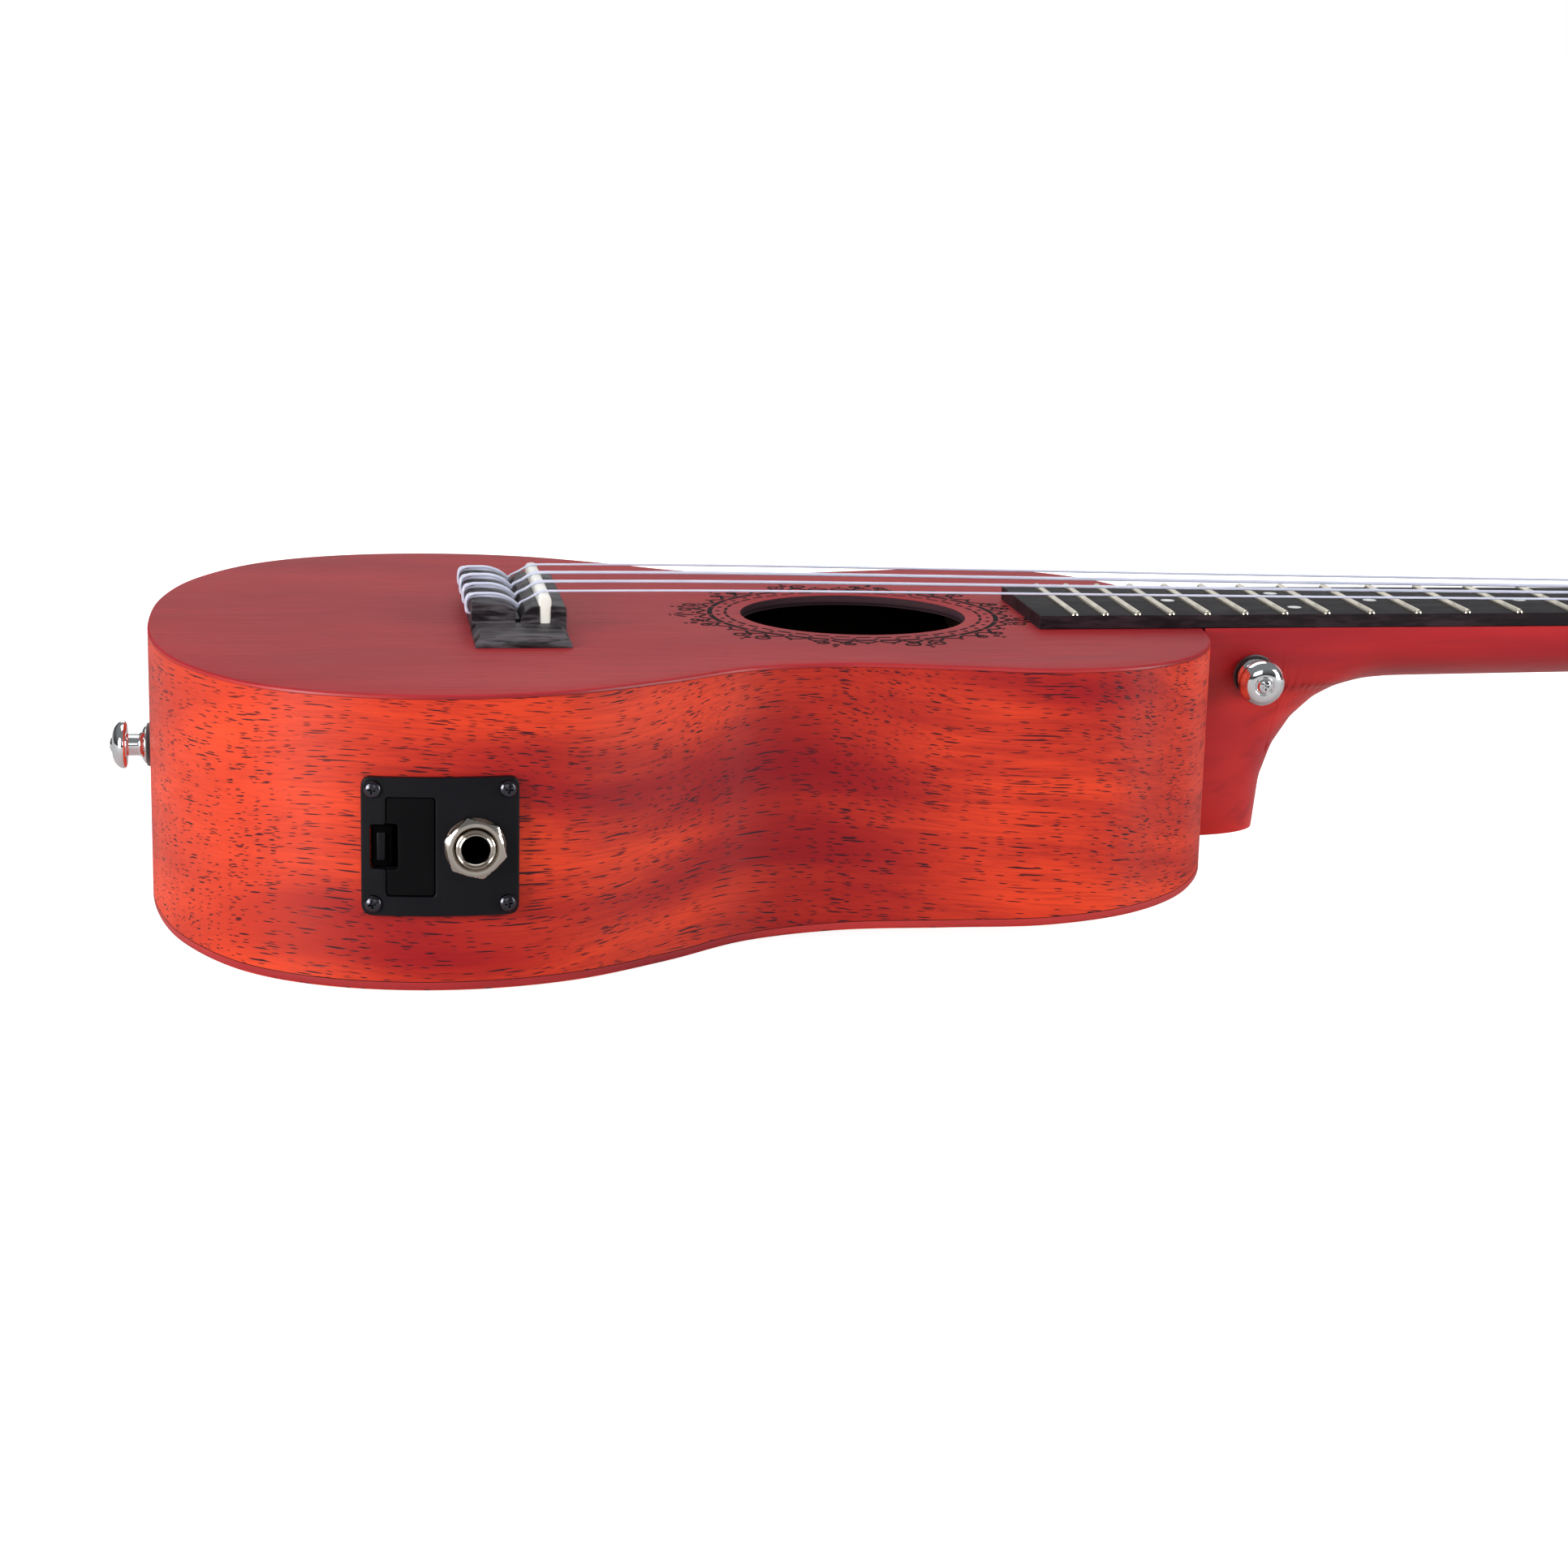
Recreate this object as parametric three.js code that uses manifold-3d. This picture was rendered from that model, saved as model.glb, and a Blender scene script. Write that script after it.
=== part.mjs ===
// Electro-acoustic concert ukulele, in millimetres, lying on its back.
//
// The parts are drawn in the maker's frame: x runs from the tail of the body to the head, y runs
// across the body from the treble side to the bass side, and z is 0 on the face of the soundboard.
// The group at the end moves them all, so that the origin is under the middle of the instrument.

import * as THREE from "three";
import { mergeVertices } from "three/addons/utils/BufferGeometryUtils.js";
import Module from "manifold-3d";

const wasm = await Module();
wasm.setup();

// Strings and scale. Every fret, the nut and the neck joint follow from the scale length.
const SCALE_LENGTH = 381;
const SADDLE_X = 97.4;
const FRET_COUNT = 18;
const JOINT_FRET = 14;
const NUT_X = SADDLE_X + SCALE_LENGTH;
const BODY_LENGTH = SADDLE_X + SCALE_LENGTH * 2 ** (-JOINT_FRET / 12);

// Body.
const BODY_DEPTH = 68.6;
const BACK_FLAT_END = 60;
const BACK_RISE = 9.4;
const SOUNDBOARD_THICKNESS = 2.6;
const BACK_THICKNESS = 2.2;
const SIDE_THICKNESS = 2.1;
const LINING_WIDTH = 5;
const LINING_HEIGHT = 6.5;
const SOUND_HOLE_X = 178.5;
const SOUND_HOLE_RADIUS = 29;
const GLUE_GAP = 0.1;
const FIT_GAP = 0.3;

// Half of the body's outline, from the tail to the neck joint: distance from the tail, half-width.
const HALF_OUTLINE = [
  [0, 0], [1.9, 30], [9.3, 58.2], [25, 83.5], [45, 96.3], [71, 100.8], [98, 96.2], [122, 83.5],
  [143, 69.9], [166, 65.8], [192, 70], [215, 74.4], [236, 71.2], [251, 60.8], [261.6, 43],
  [266, 22], [BODY_LENGTH, 0],
];
const OUTLINE_STEPS = 3;

// Neck, heel and head.
const FRETBOARD_THICKNESS = 3.5;
const FRETBOARD_START_X = 222.8;
const NECK_NUT_HALF_WIDTH = 17.8;
const NECK_TAPER = 0.0193;
const NECK_DEPTH = 16.2;
const NECK_NUT_DEPTH = 14.4;
const HEEL_DEPTH = 57;
const HEEL_LENGTH = 21.1;
const HEEL_CAP_HALF_WIDTH = 13;
const HEEL_FULLNESS = 1.25;
const HEEL_PROFILE = [
  [288.2, 57], [289.3, 43], [292.3, 34], [297.2, 26.5], [303.6, 20.8], [311, 17.7], [320, 16.5], [330, 16.2],
];
const HEEL_BLEND = { start: 292, end: 318 };
const NECK_STEPS = 9;
const NUT_THICKNESS = 4.5;
const NUT_HEIGHT = 5.6;
const HEAD_ANGLE = THREE.MathUtils.degToRad(12);
const HEAD_LENGTH = 128;
const HEAD_THICKNESS = 13;
const HEAD_HALF_WIDTH = 30;

// Frets.
const FRET_WIDTH = 2;
const FRET_HEIGHT = 1;
const TANG_WIDTH = 0.6;
const TANG_DEPTH = 1.6;

// Bridge and saddle. A notch parts the tie block, which holds the strings, from the saddle block.
const BRIDGE_START_X = 79;
const BRIDGE_END_X = 102.4;
const BRIDGE_HALF_WIDTH = 45.5;
const BRIDGE_BLOCK_HALF_WIDTH = 26.5;
const BRIDGE_WING_HEIGHT = 2.6;
const TIE_BLOCK_HEIGHT = 7.95;
const TIE_BLOCK_END_X = 89.8;
const NOTCH_END_X = 91;
const NOTCH_Z = 3.2;
const SADDLE_BLOCK_HEIGHT = 7;
const TIE_HOLE_Z = 4.2;
const TIE_HOLE_RADIUS = 1;
const SADDLE_MIDDLE_X = 97.1;
const SADDLE_THICKNESS = 2.6;
const SADDLE_TOP_Z = 9.4;
const SADDLE_BOTTOM_Z = 2.4;
const SADDLE_SLOT_Z = 1;

// Strings, from the bass side to the treble side: name, diameter.
const STRINGS = [["g", 0.6], ["c", 0.86], ["e", 0.81], ["a", 0.61]];
const STRING_SPACING_SADDLE = 13.67;
const STRING_SPACING_NUT = 9.33;
const STRING_HEIGHT_NUT = 5.1;

// Tuners: a worm on the button's shaft turns the gear on the foot of the string post.
const TUNER_ALONG = [42, 86];
const TUNER_ACROSS = 17.5;
const POST_RADIUS = 3;
const POST_HOLE_RADIUS = 3.5;
const POST_TOP = 9.2;
const GEAR_TEETH = 14;
const GEAR_TIP_RADIUS = 5;
const GEAR_ROOT_RADIUS = 4;
const GEAR_THICKNESS = 3;
const WORM_RADIUS = 2.2;
const WORM_LENGTH = 9.2;
const SHAFT_RADIUS = 1.6;
const WORM_OFFSET = GEAR_TIP_RADIUS + WORM_RADIUS + FIT_GAP;
const WORM_DEPTH = HEAD_THICKNESS + 3.8;
const PLATE_THICKNESS = 1;
const LUG_INNER = 5;
const LUG_OUTER = 6.4;

// Preamp on the treble side: plate, battery tray, latch, jack.
const PREAMP_X = 68.4;
const PREAMP_Z = -34.5;
const PREAMP_PLATE = { length: 35.3, height: 32, corner: 2.3, thickness: 1.8 };
const DOOR = { low: 56.3, high: 67.1, height: 22.6, thickness: 3 };
const LATCH = { low: 52.7, high: 58.9, height: 10.1, travel: 0.9 };
const COIN = { radius: 10, thickness: 3.2, x: 63, y: -88 };
const CASE = { low: 55.3, high: 82.3, height: 24.8, wall: 0.9, frontY: -98.3, backY: -74.5 };
const OUTSIDE_Y = -110;
const INSIDE_Y = -90;
const JACK_X = 76.1;
const JACK_BORE_RADIUS = 3.2;
const JACK_BUSHING_RADIUS = 4.5;
const JACK_NUT_FLATS = 12.7;
const JACK_NUT_BACK_Y = -102.7;
const JACK_NUT_THICKNESS = 2;

// Strap buttons.
const TAIL_BUTTON_Z = -32.9;
const HEEL_BUTTON = { x: 280.5, y: -20.75, z: -12.5, tilt: THREE.MathUtils.degToRad(6) };
const STRAP_BUTTON_LENGTH = 9.8;

const red = finish(0xb0353a, 0.45, 0);
const neckRed = finish(0xa52529, 0.4, 0);
const bareWood = finish(0xc8a27a, 0.8, 0);
const rosewood = finish(0x463c40, 0.6, 0);
const bone = finish(0xebe8d8, 0.4, 0);
const nylon = finish(0xd8dde6, 0.2, 0);
const nickel = finish(0xc4c0b4, 0.3, 1);
const chrome = finish(0xd5d7da, 0.12, 1);
const blackPlastic = finish(0x15161a, 0.4, 0);

function finish(color, roughness, metalness) {
  return new THREE.MeshStandardMaterial({ color, roughness, metalness });
}

// --- Solid tools -------------------------------------------------------------------------------

function asManifold(geometry) {
  const bare = geometry.clone();
  bare.deleteAttribute("normal");
  bare.deleteAttribute("uv");
  const merged = mergeVertices(bare, 1e-4);
  return new wasm.Manifold(new wasm.Mesh({
    numProp: 3,
    vertProperties: merged.attributes.position.array,
    triVerts: Uint32Array.from(merged.index.array),
  }));
}

function asGeometry(manifold) {
  const mesh = manifold.getMesh();
  const geometry = new THREE.BufferGeometry();
  geometry.setAttribute("position", new THREE.BufferAttribute(mesh.vertProperties, 3));
  geometry.setIndex(new THREE.BufferAttribute(mesh.triVerts, 1));
  return geometry;
}

function joined(first, ...others) {
  const whole = others.reduce((sum, other) => sum.add(asManifold(other)), asManifold(first));
  return asGeometry(whole);
}

function cut(body, ...tools) {
  const left = tools.reduce((rest, tool) => rest.subtract(asManifold(tool)), asManifold(body));
  return asGeometry(left);
}

function common(first, second) {
  return asGeometry(asManifold(first).intersect(asManifold(second)));
}

function block(low, high) {
  const size = high.map((value, axis) => value - low[axis]);
  const middle = high.map((value, axis) => (value + low[axis]) / 2);
  return new THREE.BoxGeometry(...size).translate(...middle);
}

// A cylinder between two points of the same x, y or z axis.
function rod(axis, from, to, radius, at, sides = 16) {
  const geometry = new THREE.CylinderGeometry(radius, radius, to - from, sides);
  const middle = [...at];
  middle.splice(axis, 0, (from + to) / 2);
  if (axis === 0) geometry.rotateZ(Math.PI / 2);
  if (axis === 2) geometry.rotateX(Math.PI / 2);
  return geometry.translate(...middle);
}

// Points in x and y raised into a solid, with a level top and a bottom that may depend on x.
function upright(points, top, bottomAt, holes = []) {
  const shape = new THREE.Shape(points);
  shape.holes = holes.map((hole) => new THREE.Path(hole));
  const geometry = new THREE.ExtrudeGeometry(shape, { depth: 1, bevelEnabled: false });
  const position = geometry.attributes.position;
  for (let i = 0; i < position.count; i += 1) {
    const isTop = position.getZ(i) > 0.5;
    position.setZ(i, isTop ? top(position.getX(i)) : bottomAt(position.getX(i)));
  }
  return geometry;
}

// A profile in x and z stretched across y, out to a half-width that may depend on x.
function across(profile, halfWidthAt) {
  const shape = new THREE.Shape(profile);
  const geometry = new THREE.ExtrudeGeometry(shape, { depth: 2, bevelEnabled: false });
  const position = geometry.attributes.position;
  for (let i = 0; i < position.count; i += 1) {
    const x = position.getX(i);
    const z = position.getY(i);
    const side = 1 - position.getZ(i);
    position.setXYZ(i, x, side * halfWidthAt(x), z);
  }
  return geometry;
}

// A profile in y and z stretched along x.
function alongBody(profile, from, to) {
  return new THREE.ExtrudeGeometry(new THREE.Shape(profile), { depth: to - from, bevelEnabled: false })
    .rotateX(Math.PI / 2)
    .rotateZ(Math.PI / 2)
    .translate(from, 0, 0);
}

function inPlane(pairs) {
  return pairs.map(([sideways, up]) => new THREE.Vector2(sideways, up));
}

// A skin over a row of closed rings: a fan over each end ring, or back round to the first ring.
function loft(rings, isHoop = false) {
  const corners = [];
  const edgeA = new THREE.Vector3();
  const edgeB = new THREE.Vector3();
  const add = (a, b, c) => {
    edgeA.subVectors(b, a);
    edgeB.subVectors(c, a);
    if (edgeA.cross(edgeB).length() > 1e-7) corners.push(a, b, c);
  };
  const count = rings[0].length;
  for (let i = isHoop ? 0 : 1; i < rings.length; i += 1) {
    const behind = rings.at(i - 1);
    const ahead = rings[i];
    for (let j = 0; j < count; j += 1) {
      const k = (j + 1) % count;
      add(behind[j], ahead[j], ahead[k]);
      add(behind[j], ahead[k], behind[k]);
    }
  }
  const last = rings[rings.length - 1];
  for (let j = 2; j < count && !isHoop; j += 1) {
    add(rings[0][0], rings[0][j - 1], rings[0][j]);
    add(last[0], last[j], last[j - 1]);
  }
  return new THREE.BufferGeometry().setFromPoints(corners);
}

// A round wire through points, with a ring of corners at each one.
function wire(points, radius, sides = 8) {
  const heading = new THREE.Vector3();
  const normal = new THREE.Vector3(0, 1, 0);
  const rings = points.map((point, i) => {
    const before = points[Math.max(i - 1, 0)];
    const after = points[Math.min(i + 1, points.length - 1)];
    heading.subVectors(after, before).normalize();
    normal.addScaledVector(heading, -normal.dot(heading)).normalize();
    const binormal = new THREE.Vector3().crossVectors(heading, normal);
    return Array.from({ length: sides }, (_, k) => {
      const angle = (2 * Math.PI * k) / sides;
      return point.clone()
        .addScaledVector(normal, radius * Math.cos(angle))
        .addScaledVector(binormal, -radius * Math.sin(angle));
    });
  });
  return loft(rings);
}

function turned(profile, sides = 16) {
  const points = profile.map(([radius, height]) => new THREE.Vector2(radius, height));
  return new THREE.LatheGeometry(points, sides);
}

function roundedRectangle(halfLength, halfHeight, radius) {
  const shape = new THREE.Shape();
  shape.moveTo(halfLength - radius, -halfHeight);
  shape.absarc(halfLength - radius, radius - halfHeight, radius, -Math.PI / 2, 0);
  shape.absarc(halfLength - radius, halfHeight - radius, radius, 0, Math.PI / 2);
  shape.absarc(radius - halfLength, halfHeight - radius, radius, Math.PI / 2, Math.PI);
  shape.absarc(radius - halfLength, radius - halfHeight, radius, Math.PI, 1.5 * Math.PI);
  return shape;
}

function level(z) {
  return () => z;
}

// --- Body --------------------------------------------------------------------------------------

const outlineCurve = new THREE.CatmullRomCurve3(
  [...HALF_OUTLINE, ...HALF_OUTLINE.slice(1, -1).reverse().map(([x, y]) => [x, -y])]
    .map(([x, y]) => new THREE.Vector3(x, y, 0)),
  true,
  "centripetal",
);

// The bass half of the outline, moved in by the inset, from the tail to the neck joint.
function halfOutline(inset) {
  const steps = (HALF_OUTLINE.length - 1) * OUTLINE_STEPS;
  return Array.from({ length: steps + 1 }, (_, i) => {
    const place = i / (2 * steps);
    const point = outlineCurve.getPoint(place);
    const heading = outlineCurve.getTangent(place);
    const onAxis = i === 0 || i === steps;
    return new THREE.Vector2(
      point.x + heading.y * inset,
      onAxis ? 0 : point.y - heading.x * inset,
    );
  });
}

function mirrored(points) {
  return points.map(({ x, y }) => new THREE.Vector2(x, -y));
}

function fullOutline(inset) {
  const half = halfOutline(inset);
  return [...half, ...mirrored(half).slice(1, -1).reverse()];
}

function backOuterAt(x) {
  const along = Math.max(x - BACK_FLAT_END, 0) / (BODY_LENGTH - BACK_FLAT_END);
  return BACK_RISE * along ** 2 - BODY_DEPTH;
}

function backInnerAt(x) {
  return backOuterAt(x) + BACK_THICKNESS + GLUE_GAP;
}

function soundboard() {
  const hole = new THREE.Path().absarc(SOUND_HOLE_X, 0, SOUND_HOLE_RADIUS, 0, 2 * Math.PI).getPoints(22);
  return upright(fullOutline(0), level(0), level(-SOUNDBOARD_THICKNESS), [hole]);
}

function backPlate() {
  const rings = halfOutline(0).map(({ x, y }) => {
    const low = backOuterAt(x);
    const high = low + BACK_THICKNESS;
    return [[-y, high], [y, high], [y, low], [-y, low]].map(([side, z]) => new THREE.Vector3(x, side, z));
  });
  return loft(rings);
}

function bassSide() {
  const points = [...halfOutline(0), ...halfOutline(SIDE_THICKNESS).reverse()];
  return upright(points, level(-SOUNDBOARD_THICKNESS), backInnerAt);
}

// A block that reaches from outside the treble side, level with the preamp, in to the given y.
function sideOpening(low, high, halfHeight, back) {
  return block([low, OUTSIDE_Y, PREAMP_Z - halfHeight], [high, back, PREAMP_Z + halfHeight]);
}

// The treble side has a window for the preamp's case and its latch.
function trebleSide() {
  const points = [...mirrored(halfOutline(0)), ...mirrored(halfOutline(SIDE_THICKNESS)).reverse()];
  const wall = upright(points, level(-SOUNDBOARD_THICKNESS), backInnerAt);
  return cut(
    wall,
    sideOpening(CASE.low - FIT_GAP, CASE.high + FIT_GAP, CASE.height / 2 + FIT_GAP, INSIDE_Y),
    sideOpening(LATCH.low - FIT_GAP, CASE.low, LATCH.height / 2 + FIT_GAP, INSIDE_Y),
  );
}

// A strip that runs all the way round inside the sides, grown on every face by the extra.
function lining(extra, topAt, bottomAt) {
  const inner = fullOutline(SIDE_THICKNESS + LINING_WIDTH + extra);
  const rings = fullOutline(SIDE_THICKNESS - extra).map((outside, i) => {
    const inside = inner[i];
    return [
      [outside, topAt(outside.x) + extra], [outside, bottomAt(outside.x) - extra],
      [inside, bottomAt(inside.x) - extra], [inside, topAt(inside.x) + extra],
    ].map(([point, z]) => new THREE.Vector3(point.x, point.y, z));
  });
  return loft(rings, true);
}

function liningTop(extra = 0) {
  return lining(extra, level(-SOUNDBOARD_THICKNESS), level(-SOUNDBOARD_THICKNESS - LINING_HEIGHT));
}

function liningBack(extra = 0) {
  return lining(extra, (x) => backInnerAt(x) + LINING_HEIGHT, backInnerAt);
}

// An end block joins the two sides, notched where the linings run past it.
function endBlock(isInside, innerX) {
  const outer = fullOutline(SIDE_THICKNESS + GLUE_GAP)
    .filter(isInside)
    .sort((a, b) => a.y - b.y);
  const halfWidth = outer[outer.length - 1].y;
  const inner = [halfWidth, -halfWidth].map((y) => new THREE.Vector2(innerX, y));
  const whole = upright([...outer, ...inner], level(-SOUNDBOARD_THICKNESS), backInnerAt);
  return cut(whole, liningTop(FIT_GAP), liningBack(FIT_GAP));
}

// A brace glued under the soundboard, thinned towards both ends.
function brace(x, halfLength, height) {
  const top = -SOUNDBOARD_THICKNESS;
  const width = 6;
  const profile = [
    [-halfLength, top], [halfLength, top],
    [halfLength, top - height / 3], [halfLength - 24, top - height],
    [24 - halfLength, top - height], [-halfLength, top - height / 3],
  ];
  return alongBody(inPlane(profile), x - width / 2, x + width / 2);
}

function bridgePlate() {
  const under = -SOUNDBOARD_THICKNESS;
  return block([BRIDGE_START_X - 5, -50, under - 2], [BRIDGE_END_X + 5, 50, under]);
}

// --- Bridge ------------------------------------------------------------------------------------

// The tie block, the notch where the strings come out, and the block that holds the saddle.
function bridgeBlockProfile() {
  const tieBlock = [
    [BRIDGE_START_X, 0], [BRIDGE_START_X, TIE_BLOCK_HEIGHT - 0.6],
    [BRIDGE_START_X + 0.6, TIE_BLOCK_HEIGHT - 0.05], [83.5, TIE_BLOCK_HEIGHT],
    [85.5, 7.75], [87, 7.3], [88.5, 6.65], [TIE_BLOCK_END_X, 5.9],
  ];
  const saddleBlock = [
    [TIE_BLOCK_END_X, NOTCH_Z], [NOTCH_END_X, NOTCH_Z], [92.3, 5.6], [93, 6.2], [94, 6.7],
    [95.2, SADDLE_BLOCK_HEIGHT], [99, SADDLE_BLOCK_HEIGHT],
    [101.8, SADDLE_BLOCK_HEIGHT - 0.25], [BRIDGE_END_X, SADDLE_BLOCK_HEIGHT - 0.8], [BRIDGE_END_X, 0],
  ];
  return inPlane([...tieBlock, ...saddleBlock]);
}

function bridgeWingProfile() {
  return inPlane([
    [BRIDGE_START_X, 0], [BRIDGE_START_X, BRIDGE_WING_HEIGHT - 0.7],
    [BRIDGE_START_X + 1.5, BRIDGE_WING_HEIGHT], [BRIDGE_END_X - 1.5, BRIDGE_WING_HEIGHT],
    [BRIDGE_END_X, BRIDGE_WING_HEIGHT - 0.7], [BRIDGE_END_X, 0],
  ]);
}

function bridge() {
  const tieHoles = STRINGS.map((_, i) => (
    rod(0, BRIDGE_START_X - 1, TIE_BLOCK_END_X + 0.6, TIE_HOLE_RADIUS, [saddleY(i), TIE_HOLE_Z], 8)
  ));
  const slotHalf = SADDLE_THICKNESS / 2 + 0.05;
  const slotReach = BRIDGE_BLOCK_HALF_WIDTH + 3.5;
  const slot = block(
    [SADDLE_MIDDLE_X - slotHalf, -slotReach, SADDLE_SLOT_Z],
    [SADDLE_MIDDLE_X + slotHalf, slotReach, SADDLE_TOP_Z],
  );
  const whole = joined(
    across(bridgeWingProfile(), () => BRIDGE_HALF_WIDTH),
    across(bridgeBlockProfile(), () => BRIDGE_BLOCK_HALF_WIDTH),
  );
  const wingTips = [-1, 1].map((side) => wingTipCut(side));
  return cut(whole, slot, ...tieHoles, ...wingTips);
}

// Takes a sloping slice off the end of a bridge wing.
function wingTipCut(side) {
  const slice = [[-2.5, 3], [0.2, 3], [0.2, 1]].map(([y, z]) => [side * (BRIDGE_HALF_WIDTH + y), z]);
  return alongBody(inPlane(slice), BRIDGE_START_X - 3, BRIDGE_END_X + 3);
}

function saddle() {
  const x = SADDLE_MIDDLE_X;
  const half = SADDLE_THICKNESS / 2;
  const profile = inPlane([
    [x - half, SADDLE_BOTTOM_Z], [x - half, SADDLE_TOP_Z - 1], [x - half + 0.6, SADDLE_TOP_Z - 0.2],
    [x + 0.3, SADDLE_TOP_Z], [x + half - 0.3, SADDLE_TOP_Z - 0.3], [x + half, SADDLE_TOP_Z - 0.9],
    [x + half, SADDLE_BOTTOM_Z],
  ]);
  return across(profile, () => BRIDGE_BLOCK_HALF_WIDTH - 0.5);
}

function piezoStrip() {
  const half = SADDLE_THICKNESS / 2 - 0.2;
  const reach = BRIDGE_BLOCK_HALF_WIDTH - 1;
  return block(
    [SADDLE_MIDDLE_X - half, -reach, SADDLE_SLOT_Z],
    [SADDLE_MIDDLE_X + half, reach, SADDLE_BOTTOM_Z],
  );
}

// --- Neck --------------------------------------------------------------------------------------

function neckHalfWidth(x) {
  return NECK_NUT_HALF_WIDTH + NECK_TAPER * (NUT_X - x);
}

// A ring that is flat on top, from its half-widths and heights down one side.
function ringFromSide(x, top, side) {
  const otherSide = side.map(([y, z]) => [-y, z]).reverse();
  return [[0, top], ...side, ...otherSide].map(([y, z]) => new THREE.Vector3(x, y, z));
}

function downSteps() {
  return Array.from({ length: NECK_STEPS + 1 }, (_, i) => Math.sin((i / NECK_STEPS) * (Math.PI / 2)));
}

function neckRing(x, depth, { top = 0, fullness = 2 } = {}) {
  const half = neckHalfWidth(Math.min(x, NUT_X));
  const side = downSteps().map((down) => {
    const inward = Math.max(1 - down ** fullness, 0) ** (1 / fullness);
    return [half * inward, top - depth * down];
  });
  return ringFromSide(x, top, side);
}

// Where the heel's front lies at a given depth. It runs on under the neck at small depths.
function heelFrontAt(depth) {
  const front = [...HEEL_PROFILE, [400, 12], [2000, 0]];
  const after = Math.max(front.findIndex(([, below]) => below <= depth), 1);
  const [[nearX, nearDepth], [farX, farDepth]] = [front[after - 1], front[after]];
  return THREE.MathUtils.mapLinear(depth, nearDepth, farDepth, nearX, farX);
}

// The heel narrows downwards, and its level sections are half ellipses out to its front.
function heelHalfWidth(x, depth) {
  const upper = neckHalfWidth(x) - HEEL_CAP_HALF_WIDTH;
  const narrowing = Math.max(1 - (depth / HEEL_DEPTH) ** HEEL_FULLNESS, 0) ** (1 / HEEL_FULLNESS);
  const reach = (x - BODY_LENGTH) / (heelFrontAt(depth) - BODY_LENGTH);
  return (HEEL_CAP_HALF_WIDTH + upper * narrowing) * Math.sqrt(Math.max(1 - reach ** 2, 0));
}

// A section of the heel, which turns into the rounded shaft along its front.
function heelRing(x, depth) {
  const towardsShaft = THREE.MathUtils.smoothstep(x, HEEL_BLEND.start, HEEL_BLEND.end);
  const side = downSteps().map((down) => {
    const shaftHalf = neckHalfWidth(x) * Math.sqrt(1 - down ** 2);
    const half = THREE.MathUtils.lerp(heelHalfWidth(x, depth * down), shaftHalf, towardsShaft);
    return [half, -depth * down];
  });
  return ringFromSide(x, 0, side);
}

function heelRings() {
  const along = [0, 0.2, 0.4, 0.55, 0.7, 0.8, 0.88, 0.94, 0.98];
  return along.map((place) => heelRing(BODY_LENGTH + HEEL_LENGTH * place, HEEL_DEPTH));
}

function heelFrontRings() {
  const profile = new THREE.SplineCurve(inPlane(HEEL_PROFILE));
  return profile.getPoints(14).slice(1).map(({ x, y: depth }) => heelRing(x, depth));
}

function shaftRings() {
  const start = HEEL_PROFILE[HEEL_PROFILE.length - 1][0];
  const end = NUT_X + NUT_THICKNESS;
  const shaft = [0.3, 0.6, 0.9, 1].map((place) => {
    const depth = THREE.MathUtils.lerp(NECK_DEPTH, NECK_NUT_DEPTH, place);
    return neckRing(THREE.MathUtils.lerp(start, end, place), depth);
  });
  const under = [[8, 13.6], [18, 12.4]].map(([beyond, depth]) => (
    neckRing(end + beyond, depth, { top: -0.5 - beyond * Math.tan(HEAD_ANGLE), fullness: 2.4 })
  ));
  return [...shaft, ...under];
}

// Moves a piece drawn flat behind the nut onto the tilted head.
function ontoHead(geometry) {
  return geometry.rotateY(HEAD_ANGLE).translate(NUT_X + NUT_THICKNESS, 0, 0);
}

function headPoint(along, acrossHead, height) {
  return new THREE.Vector3(along, acrossHead, height)
    .applyAxisAngle(new THREE.Vector3(0, 1, 0), HEAD_ANGLE)
    .add(new THREE.Vector3(NUT_X + NUT_THICKNESS, 0, 0));
}

function headSlab() {
  const shape = new THREE.Shape();
  shape.moveTo(0, NECK_NUT_HALF_WIDTH);
  shape.bezierCurveTo(12, NECK_NUT_HALF_WIDTH, 12, HEAD_HALF_WIDTH - 1, 28, HEAD_HALF_WIDTH);
  shape.lineTo(108, HEAD_HALF_WIDTH - 3);
  shape.bezierCurveTo(119, HEAD_HALF_WIDTH - 4, HEAD_LENGTH, 12, HEAD_LENGTH, 0);
  const half = shape.getPoints(7);
  const points = [...half, ...mirrored(half).slice(0, -1).reverse()];
  return upright(points, level(0), level(-HEAD_THICKNESS));
}

function neck() {
  const shaft = loft([...heelRings(), ...heelFrontRings(), ...shaftRings()]);
  const postHoles = tunerPlaces().map(({ along, side }) => (
    ontoHead(rod(2, -HEAD_THICKNESS - 2, 2, POST_HOLE_RADIUS, [along, side * TUNER_ACROSS], 12))
  ));
  return cut(joined(shaft, ontoHead(headSlab())), ...postHoles);
}

function fretX(number) {
  return SADDLE_X + SCALE_LENGTH * 2 ** (-number / 12);
}

function fretNumbers() {
  return Array.from({ length: FRET_COUNT }, (_, i) => i + 1);
}

function tangCorners(x) {
  const half = TANG_WIDTH / 2;
  const top = FRETBOARD_THICKNESS;
  const bottom = top - TANG_DEPTH;
  return [[x + half, top], [x + half, bottom], [x - half, bottom], [x - half, top]];
}

// The fretboard's side profile has a slot for every fret's tang.
function fretboard() {
  const top = FRETBOARD_THICKNESS;
  const profile = [[FRETBOARD_START_X, 0], [NUT_X, 0], [NUT_X, top]];
  fretNumbers().forEach((number) => {
    profile.push(...tangCorners(fretX(number)));
  });
  profile.push([FRETBOARD_START_X, top]);
  return across(inPlane(profile), neckHalfWidth);
}

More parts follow.
